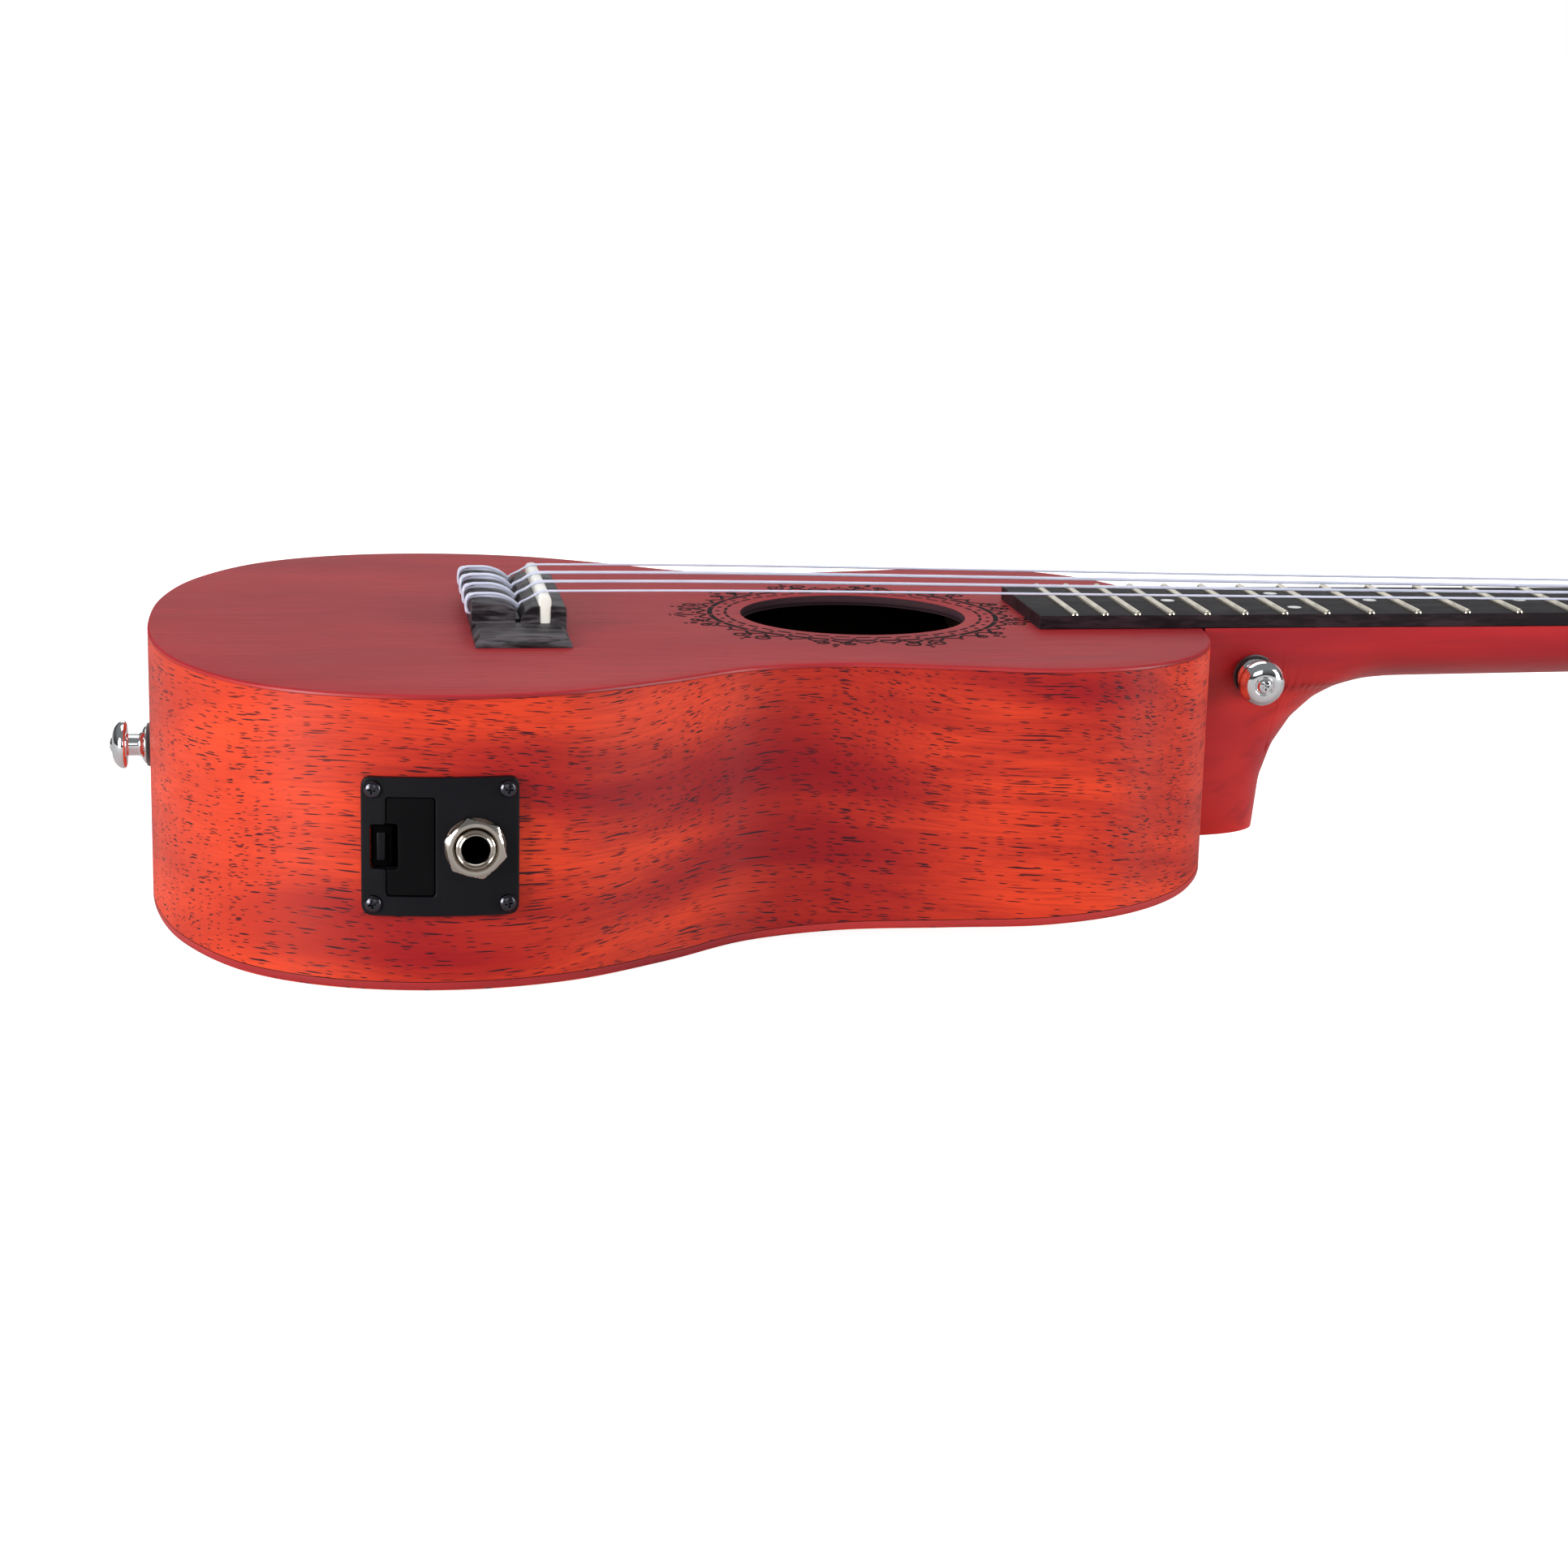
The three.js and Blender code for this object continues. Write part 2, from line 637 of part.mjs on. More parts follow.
function fret(number) {
  const x = fretX(number);
  const top = FRETBOARD_THICKNESS;
  const crown = [0, 0.25, 0.5, 0.75, 1].map((place) => {
    const angle = place * Math.PI;
    return [x - Math.cos(angle) * (FRET_WIDTH / 2), top + Math.sin(angle) * FRET_HEIGHT];
  });
  return across(inPlane([...crown, ...tangCorners(x)]), neckHalfWidth);
}

// The nut has one slot for each string, cut down to just under the string.
function nut() {
  const profile = [
    [-NECK_NUT_HALF_WIDTH, 0], [NECK_NUT_HALF_WIDTH, 0],
    [NECK_NUT_HALF_WIDTH, NUT_HEIGHT - 0.4], [NECK_NUT_HALF_WIDTH - 0.6, NUT_HEIGHT],
  ];
  STRINGS.forEach(([, diameter], i) => {
    const y = nutY(i);
    const half = diameter / 2 + 0.15;
    const floor = STRING_HEIGHT_NUT - diameter / 2 - 0.25;
    profile.push([y + half, NUT_HEIGHT], [y + half, floor], [y - half, floor], [y - half, NUT_HEIGHT]);
  });
  profile.push([0.6 - NECK_NUT_HALF_WIDTH, NUT_HEIGHT], [-NECK_NUT_HALF_WIDTH, NUT_HEIGHT - 0.4]);
  return alongBody(inPlane(profile), NUT_X, NUT_X + NUT_THICKNESS);
}

// --- Strings -----------------------------------------------------------------------------------

function saddleY(index) {
  return STRING_SPACING_SADDLE * (1.5 - index);
}

function nutY(index) {
  return STRING_SPACING_NUT * (1.5 - index);
}

// Outer strings go to the posts next to the nut, inner strings to the posts near the tip.
function stringPost(index) {
  const isOuter = index === 0 || index === STRINGS.length - 1;
  return { along: TUNER_ALONG[isOuter ? 0 : 1], side: index < 2 ? 1 : -1 };
}

// Each string lies over the tie block, runs back through its hole, out of the notch, over the
// saddle and the nut, and ends beside its post.
function string(index) {
  const radius = STRINGS[index][1] / 2;
  const y = saddleY(index);
  const overTop = TIE_BLOCK_HEIGHT + radius + 0.1;
  const behind = BRIDGE_START_X - radius - 0.1;
  const overSaddle = SADDLE_TOP_Z + radius + 0.05;
  const post = stringPost(index);
  const beside = post.side * (TUNER_ACROSS - POST_RADIUS - radius - FIT_GAP);
  const tie = [
    [88.6, y + 1.5, overTop - 0.9], [86, y + 1.3, overTop], [82, y + 0.8, overTop],
    [BRIDGE_START_X + 0.8, y + 0.1, overTop], [behind, y, overTop - 0.8], [behind, y, TIE_HOLE_Z + 0.7],
    [BRIDGE_START_X - 0.2, y, TIE_HOLE_Z], [BRIDGE_START_X + 2, y, TIE_HOLE_Z],
  ];
  const fromHole = [
    [TIE_BLOCK_END_X - 1, y, TIE_HOLE_Z], [TIE_BLOCK_END_X + 0.4, y, TIE_HOLE_Z + 0.4], [92, y, 6.4],
    [SADDLE_MIDDLE_X - 1.5, y, overSaddle - 0.4], [SADDLE_MIDDLE_X - 0.4, y, overSaddle],
    [SADDLE_MIDDLE_X + 1.6, y, overSaddle - 0.03],
  ];
  const overNut = [
    [NUT_X, nutY(index), STRING_HEIGHT_NUT],
    [NUT_X + NUT_THICKNESS + 0.6, nutY(index), STRING_HEIGHT_NUT - 0.2],
  ];
  const path = [...tie, ...fromHole, ...overNut].map((place) => new THREE.Vector3(...place));
  return wire([...path, headPoint(post.along, beside, 5)], radius);
}

// --- Tuners ------------------------------------------------------------------------------------

function tunerPlaces() {
  return [1, -1].flatMap((side) => TUNER_ALONG.map((along) => ({ along, side })));
}

// Base plate screwed to the back of the head, with two lugs that carry the worm's shaft.
function tunerPlate({ along, side }) {
  const y = side * TUNER_ACROSS;
  const high = -HEAD_THICKNESS - GLUE_GAP;
  const low = high - PLATE_THICKNESS;
  const wormX = along - WORM_OFFSET;
  const outline = roundedRectangle(12, 6.5, 2.5).getPoints(3)
    .map((point) => new THREE.Vector2(point.x + along - 2.4, point.y + y));
  const lugs = [-1, 1].map((end) => {
    const edges = [y + end * LUG_INNER, y + end * LUG_OUTER].sort((a, b) => a - b);
    return block([wormX - 2.8, edges[0], -WORM_DEPTH - 2.8], [wormX + 2.8, edges[1], low + 0.4]);
  });
  const shaftHole = rod(1, y - 8, y + 8, SHAFT_RADIUS + FIT_GAP, [wormX, -WORM_DEPTH], 12);
  const postHole = rod(2, low - 1, high + 1, POST_HOLE_RADIUS, [along, y], 12);
  const plate = cut(joined(upright(outline, level(high), level(low)), ...lugs), shaftHole, postHole);
  return ontoHead(plate);
}

// The button, its shaft and the worm turn as one, on an axis that points out of the head's edge.
function tunerButton({ along, side }) {
  const shaft = turned([
    [0, -7.4], [SHAFT_RADIUS, -7.4], [SHAFT_RADIUS, -WORM_LENGTH / 2],
    [WORM_RADIUS, -WORM_LENGTH / 2], [WORM_RADIUS, WORM_LENGTH / 2],
    [SHAFT_RADIUS, WORM_LENGTH / 2], [SHAFT_RADIUS, 13.5], [2.6, 14], [2.8, 18], [0, 18],
  ], 12);
  const paddle = new THREE.SphereGeometry(1, 14, 8).scale(3.4, 6.6, 7.4).translate(0, 22.4, 0);
  const whole = joined(shaft, paddle);
  if (side < 0) whole.rotateZ(Math.PI);
  return ontoHead(whole.translate(along - WORM_OFFSET, side * TUNER_ACROSS, -WORM_DEPTH));
}

function gearOutline() {
  const step = (2 * Math.PI) / GEAR_TEETH;
  const tooth = [
    [-0.3, GEAR_ROOT_RADIUS], [-0.14, GEAR_TIP_RADIUS], [0.14, GEAR_TIP_RADIUS], [0.3, GEAR_ROOT_RADIUS],
  ];
  return Array.from({ length: GEAR_TEETH }, (_, i) => tooth.map(([offset, radius]) => {
    const angle = step * (i + offset);
    return new THREE.Vector2(radius * Math.cos(angle), radius * Math.sin(angle));
  })).flat();
}

// The gear sits behind the plate, and its post stands up through the head.
function tunerPost({ along, side }) {
  const middle = -WORM_DEPTH;
  const gearLow = middle - GEAR_THICKNESS / 2;
  const post = turned([
    [0, gearLow - 1], [2.4, gearLow - 1], [2.4, gearLow + 1], [POST_RADIUS, gearLow + 1],
    [POST_RADIUS, 3.6], [2.6, 4.2], [2.6, 6.2], [POST_RADIUS, 6.9], [POST_RADIUS, 8.4],
    [2.3, POST_TOP], [0, POST_TOP],
  ], 12).rotateX(Math.PI / 2);
  const wheel = upright(gearOutline(), level(gearLow + GEAR_THICKNESS), level(gearLow));
  return ontoHead(joined(post, wheel).translate(along, side * TUNER_ACROSS, 0));
}

// --- Preamp ------------------------------------------------------------------------------------

// The solid inside the body's outline when that is moved out by the plate's thickness.
function plateEnvelope(outset) {
  return upright(fullOutline(-outset), level(PREAMP_Z + 20), level(PREAMP_Z - 20));
}

function doorBlock(gap, back) {
  return sideOpening(DOOR.low - gap, DOOR.high + gap, DOOR.height / 2 + gap, back);
}

function latchBlock(gap, back) {
  return sideOpening(LATCH.low - gap, LATCH.high, LATCH.height / 2 + gap, back);
}

function preampPlate() {
  const { length, height, corner, thickness } = PREAMP_PLATE;
  const shape = roundedRectangle(length / 2, height / 2, corner);
  const stamp = new THREE.ExtrudeGeometry(shape, { depth: 30, bevelEnabled: false, curveSegments: 4 })
    .rotateX(Math.PI / 2)
    .translate(PREAMP_X, -85, PREAMP_Z);
  const skin = cut(plateEnvelope(thickness), plateEnvelope(GLUE_GAP));
  const jackHole = rod(1, OUTSIDE_Y, INSIDE_Y, JACK_BUSHING_RADIUS + FIT_GAP, [JACK_X, PREAMP_Z]);
  return cut(common(skin, stamp), doorBlock(FIT_GAP, INSIDE_Y), latchBlock(0, INSIDE_Y), jackHole);
}

// The tray's door closes flush with the plate, and a frame behind it carries the coin cell.
function batteryTray() {
  const doorBack = -DOOR.thickness - 96.4;
  const half = CASE.height / 2 - CASE.wall - FIT_GAP;
  const door = common(doorBlock(0, doorBack), plateEnvelope(PREAMP_PLATE.thickness));
  const frame = block(
    [LATCH.high + FIT_GAP, doorBack - 0.5, PREAMP_Z - half],
    [DOOR.high - 2.1, CASE.backY - 3, PREAMP_Z + half],
  );
  const pocketStart = COIN.x - COIN.thickness / 2 - 0.2;
  const pocket = rod(0, pocketStart, DOOR.high + 3, COIN.radius + FIT_GAP, [COIN.y, PREAMP_Z], 24);
  return cut(joined(door, frame), latchBlock(0, doorBack + 0.5), pocket);
}

// A sprung tongue with a thumb rib, which slides towards the door to free the tray.
function batteryLatch() {
  const half = LATCH.height / 2 - FIT_GAP;
  const low = LATCH.low + FIT_GAP;
  const back = CASE.frontY - FIT_GAP;
  const front = back - 1;
  const high = LATCH.high - LATCH.travel - FIT_GAP;
  const tongue = block([low, front, PREAMP_Z - half], [high, back, PREAMP_Z + half]);
  const rib = block([low + 1.2, front - 0.8, PREAMP_Z - 3.5], [low + 2.8, front + 0.2, PREAMP_Z + 3.5]);
  return joined(tongue, rib);
}

function coinCell() {
  const half = COIN.thickness / 2;
  return rod(0, COIN.x - half, COIN.x + half, COIN.radius, [COIN.y, PREAMP_Z], 24);
}

// An open-fronted box behind the window in the side.
function preampCase() {
  const half = CASE.height / 2;
  const outer = block([CASE.low, CASE.frontY, PREAMP_Z - half], [CASE.high, CASE.backY, PREAMP_Z + half]);
  const inner = block(
    [CASE.low + CASE.wall, CASE.frontY - 1, PREAMP_Z - half + CASE.wall],
    [CASE.high - CASE.wall, CASE.backY - CASE.wall, PREAMP_Z + half - CASE.wall],
  );
  return cut(outer, inner);
}

function jackSocket() {
  const front = JACK_NUT_BACK_Y - JACK_NUT_THICKNESS - 0.4;
  const housing = block([JACK_X - 5.2, -98, PREAMP_Z - 6.5], [JACK_X + 4.9, -76.5, PREAMP_Z + 6.5]);
  const bushing = rod(1, front, -97, JACK_BUSHING_RADIUS, [JACK_X, PREAMP_Z], 20);
  const bore = rod(1, front - 1, -78, JACK_BORE_RADIUS, [JACK_X, PREAMP_Z], 20);
  return cut(joined(housing, bushing), bore);
}

function jackNut() {
  const corner = JACK_NUT_FLATS / Math.sqrt(3);
  const front = JACK_NUT_BACK_Y - JACK_NUT_THICKNESS;
  const centre = [JACK_X, PREAMP_Z];
  const hex = rod(1, front, JACK_NUT_BACK_Y, corner, centre, 6);
  const bore = rod(1, front - 1, JACK_NUT_BACK_Y + 1, JACK_BUSHING_RADIUS + FIT_GAP, centre, 20);
  return cut(hex, bore);
}

// --- Strap buttons -----------------------------------------------------------------------------

// A felt washer, a coned foot, a waist and a round head, standing up from y = 0.
function strapButton() {
  const end = STRAP_BUTTON_LENGTH;
  return turned([
    [0, 0], [5.4, 0], [5.4, 1.2], [4.7, 1.3], [2.8, 2.4], [2.8, end - 3.8],
    [5.4, end - 3.8], [6.05, end - 3.1], [6.05, end - 2.3], [5.3, end - 1.1],
    [3.6, end - 0.3], [1.8, end], [0, end],
  ], 20);
}

function tailStrapButton() {
  return strapButton().rotateZ(Math.PI / 2).translate(0, 0, TAIL_BUTTON_Z);
}

function heelStrapButton() {
  return strapButton()
    .rotateX(Math.PI + HEEL_BUTTON.tilt)
    .translate(HEEL_BUTTON.x, HEEL_BUTTON.y, HEEL_BUTTON.z);
}

// --- Assembly ----------------------------------------------------------------------------------

const HEAD_TIP_X = headPoint(HEAD_LENGTH, 0, 0).x;
const MIDDLE_X = (HEAD_TIP_X - STRAP_BUTTON_LENGTH) / 2;

const instrument = new THREE.Group();
instrument.position.set(-MIDDLE_X, 0, BODY_DEPTH);

function part(name, geometry, material) {
  const mesh = new THREE.Mesh(geometry, material);
  mesh.name = name;
  instrument.add(mesh);
}

part("soundboard", soundboard(), red);
part("side_treble", trebleSide(), red);
part("side_bass", bassSide(), red);
part("back", backPlate(), red);
part("tail_block", endBlock(({ x, y }) => x < 20 && Math.abs(y) < 24, 16), bareWood);
part("neck_block", endBlock(({ x, y }) => x > 240 && Math.abs(y) < 30, 246), bareWood);
part("lining_top", liningTop(), bareWood);
part("lining_back", liningBack(), bareWood);
part("brace_upper", brace(216, 66.5, 9), bareWood);
part("brace_lower", brace(140, 62, 9), bareWood);
part("bridge_plate", bridgePlate(), bareWood);

part("bridge", bridge(), rosewood);
part("saddle", saddle(), bone);
part("piezo_strip", piezoStrip(), nickel);

part("neck", neck(), neckRed);
part("fretboard", fretboard(), rosewood);
part("nut", nut(), bone);
fretNumbers().forEach((number) => {
  part(`fret_${String(number).padStart(2, "0")}`, fret(number), nickel);
});

STRINGS.forEach(([name], index) => {
  const post = stringPost(index);
  part(`string_${name}`, string(index), nylon);
  part(`tuner_plate_${name}`, tunerPlate(post), chrome);
  part(`tuner_button_${name}`, tunerButton(post), chrome);
  part(`tuner_post_${name}`, tunerPost(post), chrome);
});

part("preamp_plate", preampPlate(), blackPlastic);
part("battery_tray", batteryTray(), blackPlastic);
part("battery_latch", batteryLatch(), blackPlastic);
part("coin_cell", coinCell(), nickel);
part("preamp_case", preampCase(), blackPlastic);
part("jack_socket", jackSocket(), nickel);
part("jack_nut", jackNut(), nickel);

part("strap_button_tail", tailStrapButton(), chrome);
part("strap_button_heel", heelStrapButton(), chrome);

export default instrument;
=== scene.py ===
import math

import bmesh
import bpy
import numpy as np
from mathutils import Matrix, Vector


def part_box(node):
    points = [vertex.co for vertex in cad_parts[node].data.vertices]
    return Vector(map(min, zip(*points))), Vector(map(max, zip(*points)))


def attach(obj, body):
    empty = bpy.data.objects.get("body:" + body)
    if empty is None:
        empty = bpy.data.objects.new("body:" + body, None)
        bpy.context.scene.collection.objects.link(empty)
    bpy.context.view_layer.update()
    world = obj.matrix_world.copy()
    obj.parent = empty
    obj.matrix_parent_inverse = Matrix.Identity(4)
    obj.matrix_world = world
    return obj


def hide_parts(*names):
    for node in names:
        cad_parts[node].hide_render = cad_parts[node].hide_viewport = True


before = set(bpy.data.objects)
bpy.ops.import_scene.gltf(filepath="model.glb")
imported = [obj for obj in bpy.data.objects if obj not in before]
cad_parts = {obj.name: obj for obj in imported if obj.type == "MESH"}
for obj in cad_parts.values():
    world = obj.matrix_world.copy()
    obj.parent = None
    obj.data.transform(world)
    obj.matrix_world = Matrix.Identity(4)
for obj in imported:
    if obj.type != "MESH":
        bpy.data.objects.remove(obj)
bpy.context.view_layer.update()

# Everything below is drawn in millimetres in the maker's frame: x from the tail of the body to the
# head, y across, z up from the face of the soundboard. at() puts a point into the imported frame.
MM = 0.001
TAIL_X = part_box("soundboard")[0].x
TOP_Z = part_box("soundboard")[1].z


def at(x, y, z):
    return Vector((TAIL_X + x * MM, y * MM, TOP_Z + z * MM))


def node_mm(node):
    """Lowest and highest corner of a CAD node, in the maker's frame."""
    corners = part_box(node)
    return [Vector(((c.x - TAIL_X) / MM, c.y / MM, (c.z - TOP_Z) / MM)) for c in corners]


SCALE = 381
SADDLE_X = 97.4
NUT_X = SADDLE_X + SCALE
BODY_LENGTH = SADDLE_X + SCALE * 2 ** (-14 / 12)
DEPTH = TOP_Z / MM
TOP_THICK = 2.6
BACK_THICK = 2.2
SIDE_THICK = 2.1
HOLE_X = 178.5
HOLE_RADIUS = 29
HEAD_ANGLE = math.radians(12)
HEAD_ALONG = Vector((math.cos(HEAD_ANGLE), 0, -math.sin(HEAD_ANGLE)))
HEAD_NORMAL = Vector((math.sin(HEAD_ANGLE), 0, math.cos(HEAD_ANGLE)))
HEAD_START = NUT_X + 4.5
HEAD_LENGTH = 128
HEAD_THICK = 13
HEAD_HALF = 30
NUT_HALF = 17.8
NECK_TAPER = 0.0193
STRINGS = [("g", 0.6), ("c", 0.86), ("e", 0.81), ("a", 0.61)]
STRING_GAP_AT_SADDLE = 13.67
STRING_GAP_AT_NUT = 9.33
TUNER_ALONG = [42, 86]
TUNER_ACROSS = 17.5
WORM_OFFSET = 7.5
WORM_DEPTH = 16.8
GEAR_TEETH = 14
PREAMP_X = 68.4
PREAMP_Z = -34.5
JACK_X = 76.1
SADDLE_MIDDLE = 97.1
BRIDGE_BACK = 79
BRIDGE_FRONT = 102.35
BLOCK_HALF = 26.5
WING_HALF = 45.5
WING_TOP = 2.6
BOARD_TOP = 3.5
HEEL_DEPTH = 57
HEEL_LENGTH = 21.1
HEEL_CAP = 13
HEEL_END_X = 330
NECK_DEPTH_AT_HEEL = 16.2
NECK_DEPTH_AT_NUT = 14.4
# The heel's front edge seen from the side: (x, depth below the soundboard's face).
HEEL_PROFILE = [
    (288.2, 57), (289.3, 43), (292.3, 34), (297.2, 26.5), (303.6, 20.8), (311, 17.7), (320, 16.5),
    (HEEL_END_X, NECK_DEPTH_AT_HEEL),
]
# Glued pieces stay this far from what they are glued to.
GLUE_GAP = 0.05
# Inlays reach from just under the face to just above it.
INLAY_BASE = -0.1
INLAY_LIFT = 0.05
# How far down the soundboard's edge shows outside the sides.
SEAM_DEPTH = 1.05


# --- Camera, light, floor ------------------------------------------------------------------------

def add_camera():
    azimuth = math.radians(-8.944)
    elevation = math.radians(13.140)
    roll = math.radians(-1.4405)
    target = at(163.15, 0, -44.5)
    distance = 0.8022
    level = math.cos(elevation)
    back = Vector((math.sin(azimuth) * level, -math.cos(azimuth) * level, math.sin(elevation)))
    right = Vector((0, 0, 1)).cross(back).normalized()
    up = back.cross(right)
    turned_right = right * math.cos(roll) - up * math.sin(roll)
    turned_up = up * math.cos(roll) + right * math.sin(roll)
    data = bpy.data.cameras.new("camera")
    data.sensor_width = 36
    data.lens = 70.49
    data.shift_x = -0.0036
    data.shift_y = -0.0011
    data.clip_start = 0.01
    camera = bpy.data.objects.new("camera", data)
    axes = Matrix((turned_right, turned_up, back)).transposed().to_4x4()
    camera.matrix_world = Matrix.Translation(target + back * distance) @ axes
    bpy.context.scene.collection.objects.link(camera)
    bpy.context.scene.camera = camera


def add_area_light(name, position, aim, size, power, color=(1, 1, 1)):
    data = bpy.data.lights.new(name, "AREA")
    data.shape = "RECTANGLE"
    data.size, data.size_y = size
    data.energy = power
    data.color = color
    light = bpy.data.objects.new(name, data)
    light.location = position
    light.rotation_euler = (Vector(aim) - Vector(position)).to_track_quat("-Z", "Y").to_euler()
    bpy.context.scene.collection.objects.link(light)


def add_lights():
    middle = (-0.13, 0, 0.04)
    add_area_light("overhead", (-0.2, 0.35, 1.2), middle, (1.3, 0.8), 6)
    add_area_light("left", (-1.2, -0.72, 0.3), middle, (0.45, 0.8), 17)
    add_area_light("right", (1.0, -0.6, 0.3), middle, (0.4, 0.8), 12)
    add_area_light("front", (-0.2, -1.5, 0.5), middle, (0.8, 0.5), 1.6)
    add_area_light("rim", (0.1, 1.2, 0.5), middle, (1.6, 0.5), 3.0)


def camera_only(tree, seen, otherwise):
    """Shows one shader to the camera and another to every other ray."""
    path = tree.nodes.new("ShaderNodeLightPath")
    mix = tree.nodes.new("ShaderNodeMixShader")
    tree.links.new(path.outputs["Is Camera Ray"], mix.inputs[0])
    tree.links.new(otherwise, mix.inputs[1])
    tree.links.new(seen, mix.inputs[2])
    return mix.outputs[0]


def add_world():
    """White behind the object; for everything it reflects, a grey room, darker towards the floor."""
    world = bpy.data.worlds.new("studio")
    world.use_nodes = True
    tree = world.node_tree
    white = tree.nodes["Background"]
    white.inputs["Color"].default_value = (1, 1, 1, 1)
    room = tree.nodes.new("ShaderNodeBackground")
    room.inputs["Strength"].default_value = 0.22
    place = tree.nodes.new("ShaderNodeTexCoord")
    split = tree.nodes.new("ShaderNodeSeparateXYZ")
    ramp = tree.nodes.new("ShaderNodeValToRGB")
    ramp.color_ramp.elements[0].position = 0.0
    ramp.color_ramp.elements[0].color = (0.05, 0.05, 0.06, 1)
    ramp.color_ramp.elements[1].position = 0.5
    ramp.color_ramp.elements[1].color = (0.92, 0.96, 1, 1)
    tree.links.new(place.outputs["Generated"], split.inputs[0])
    tree.links.new(split.outputs["Z"], ramp.inputs[0])
    tree.links.new(ramp.outputs[0], room.inputs["Color"])
    shown = camera_only(tree, white.outputs[0], room.outputs[0])
    tree.links.new(shown, tree.nodes["World Output"].inputs["Surface"])
    bpy.context.scene.world = world
    bpy.context.scene.view_settings.view_transform = "Standard"


def add_floor():
    """A pale floor, lit evenly enough that it meets the white background without a line."""
    bm = bmesh.new()
    bmesh.ops.create_grid(bm, x_segments=2, y_segments=2, size=30)
    mesh = closed(bm)
    shader = Shader("pale_floor", color=(0.6, 0.6, 0.6), roughness=0.95)
    tree = shader.tree
    glow = tree.nodes.new("ShaderNodeEmission")
    glow.inputs["Strength"].default_value = 0.93
    pale = tree.nodes.new("ShaderNodeAddShader")
    tree.links.new(glow.outputs[0], pale.inputs[0])
    tree.links.new(shader.surface.outputs[0], pale.inputs[1])
    shown = camera_only(tree, pale.outputs[0], shader.surface.outputs[0])
    tree.links.new(shown, tree.nodes["Material Output"].inputs["Surface"])
    mesh.materials.append(shader.material)
    floor = bpy.data.objects.new("floor", mesh)
    floor.location.z = -0.0005
    bpy.context.scene.collection.objects.link(floor)


# --- Materials -----------------------------------------------------------------------------------

class Shader:
    """A Principled material, with short calls for the nodes that feed it."""

    def __init__(self, name, color=(0.8, 0.8, 0.8), roughness=0.5, **settings):
        self.material = bpy.data.materials.new(name)
        self.material.use_nodes = True
        self.tree = self.material.node_tree
        self.surface = self.tree.nodes["Principled BSDF"]
        self.set("Base Color", (*color, 1))
        self.set("Roughness", roughness)
        for name, value in settings.items():
            self.set(name.replace("_", " ").title().replace("Ior", "IOR"), value)

    def set(self, socket, value):
        self.feed(self.surface.inputs[socket], value)

    def feed(self, socket, value):
        if isinstance(value, bpy.types.NodeSocket):
            self.tree.links.new(value, socket)
        else:
            socket.default_value = value

    def node(self, kind, out=0, inputs=None, **settings):
        node = self.tree.nodes.new("ShaderNode" + kind)
        for name, value in settings.items():
            setattr(node, name, value)
        for key, value in (inputs or {}).items():
            self.feed(node.inputs[key], value)
        return node.outputs[out]

    def coordinates(self, attribute=None):
        if attribute:
            return self.node("Attribute", "Vector", attribute_name=attribute)
        return self.node("TexCoord", "Object")

    def stretch(self, vector, scale, location=(0, 0, 0)):
        return self.node("Mapping", inputs={"Vector": vector, "Scale": scale, "Location": location})

    def noise(self, vector, scale, detail=3, distortion=0.0, location=(0, 0, 0)):
        """Noise with its own scale, per metre, along each axis."""
        place = self.stretch(vector, scale, location)
        return self.node("TexNoise", inputs={
            "Vector": place, "Scale": 1, "Detail": detail, "Distortion": distortion,
        })

    def cells(self, vector, out="Distance"):
        return self.node("TexVoronoi", out, inputs={"Vector": vector, "Scale": 1})

    def math(self, operation, a, b=0.0, clamp=False):
        return self.node("Math", operation=operation, use_clamp=clamp, inputs={0: a, 1: b})

    def scaled(self, value, factor, offset=0.0):
        product = self.math("MULTIPLY", value, factor)
        return self.math("ADD", product, offset) if offset else product

    def ramp(self, value, low, high):
        """0 at low, 1 at high, smooth between."""
        return self.node("MapRange", interpolation_type="SMOOTHSTEP", inputs={
            "Value": value, "From Min": low, "From Max": high,
        })

    def mix(self, factor, a, b):
        node = self.tree.nodes.new("ShaderNodeMix")
        node.data_type = "RGBA"
        self.feed(node.inputs[0], factor)
        for index, color in ((6, a), (7, b)):
            self.feed(node.inputs[index], color if isinstance(color, bpy.types.NodeSocket) else (*color, 1))
        return node.outputs[2]

    def tint(self, color, mask, strength, stain):
        """The color with a stain over it where the mask is high."""
        return self.mix(self.scaled(mask, strength), color, stain)

    def finish(self, color, height, distance, strength=0.5):
        """Sets the color and the bump, and gives the finished material."""
        self.set("Base Color", color)
        self.set("Normal", self.node("Bump", inputs={
            "Height": height, "Distance": distance, "Strength": strength,
        }))
        return self.material


def warped(shader, vector, across, scale=(9, 30, 30)):
    """Lets the grain lines wander slowly from side to side."""
    drift = shader.noise(vector, scale, detail=1)
    offset = shader.scaled(shader.math("SUBTRACT", drift, 0.5), across)
    combined = shader.node("CombineXYZ", inputs={"Y": offset, "Z": offset})
    return shader.node("VectorMath", operation="ADD", inputs={0: vector, 1: combined})


def pores(shader, vector, length, width, share, clusters):
    """Short dark dashes along the grain: 1 inside a pore, 0 outside."""
    spots = shader.stretch(vector, (1 / length, 1 / width, 1 / width))
    inside = shader.ramp(shader.cells(spots), 0.33, 0.2)
    pick = shader.node("SeparateColor", inputs={"Color": shader.cells(spots, "Color")})
    level = shader.math("ADD", pick, shader.scaled(clusters, 0.55))
    chosen = shader.ramp(level, 1.26 - share, 1.3 - share)
    return shader.math("MULTIPLY", inside, chosen, clamp=True)


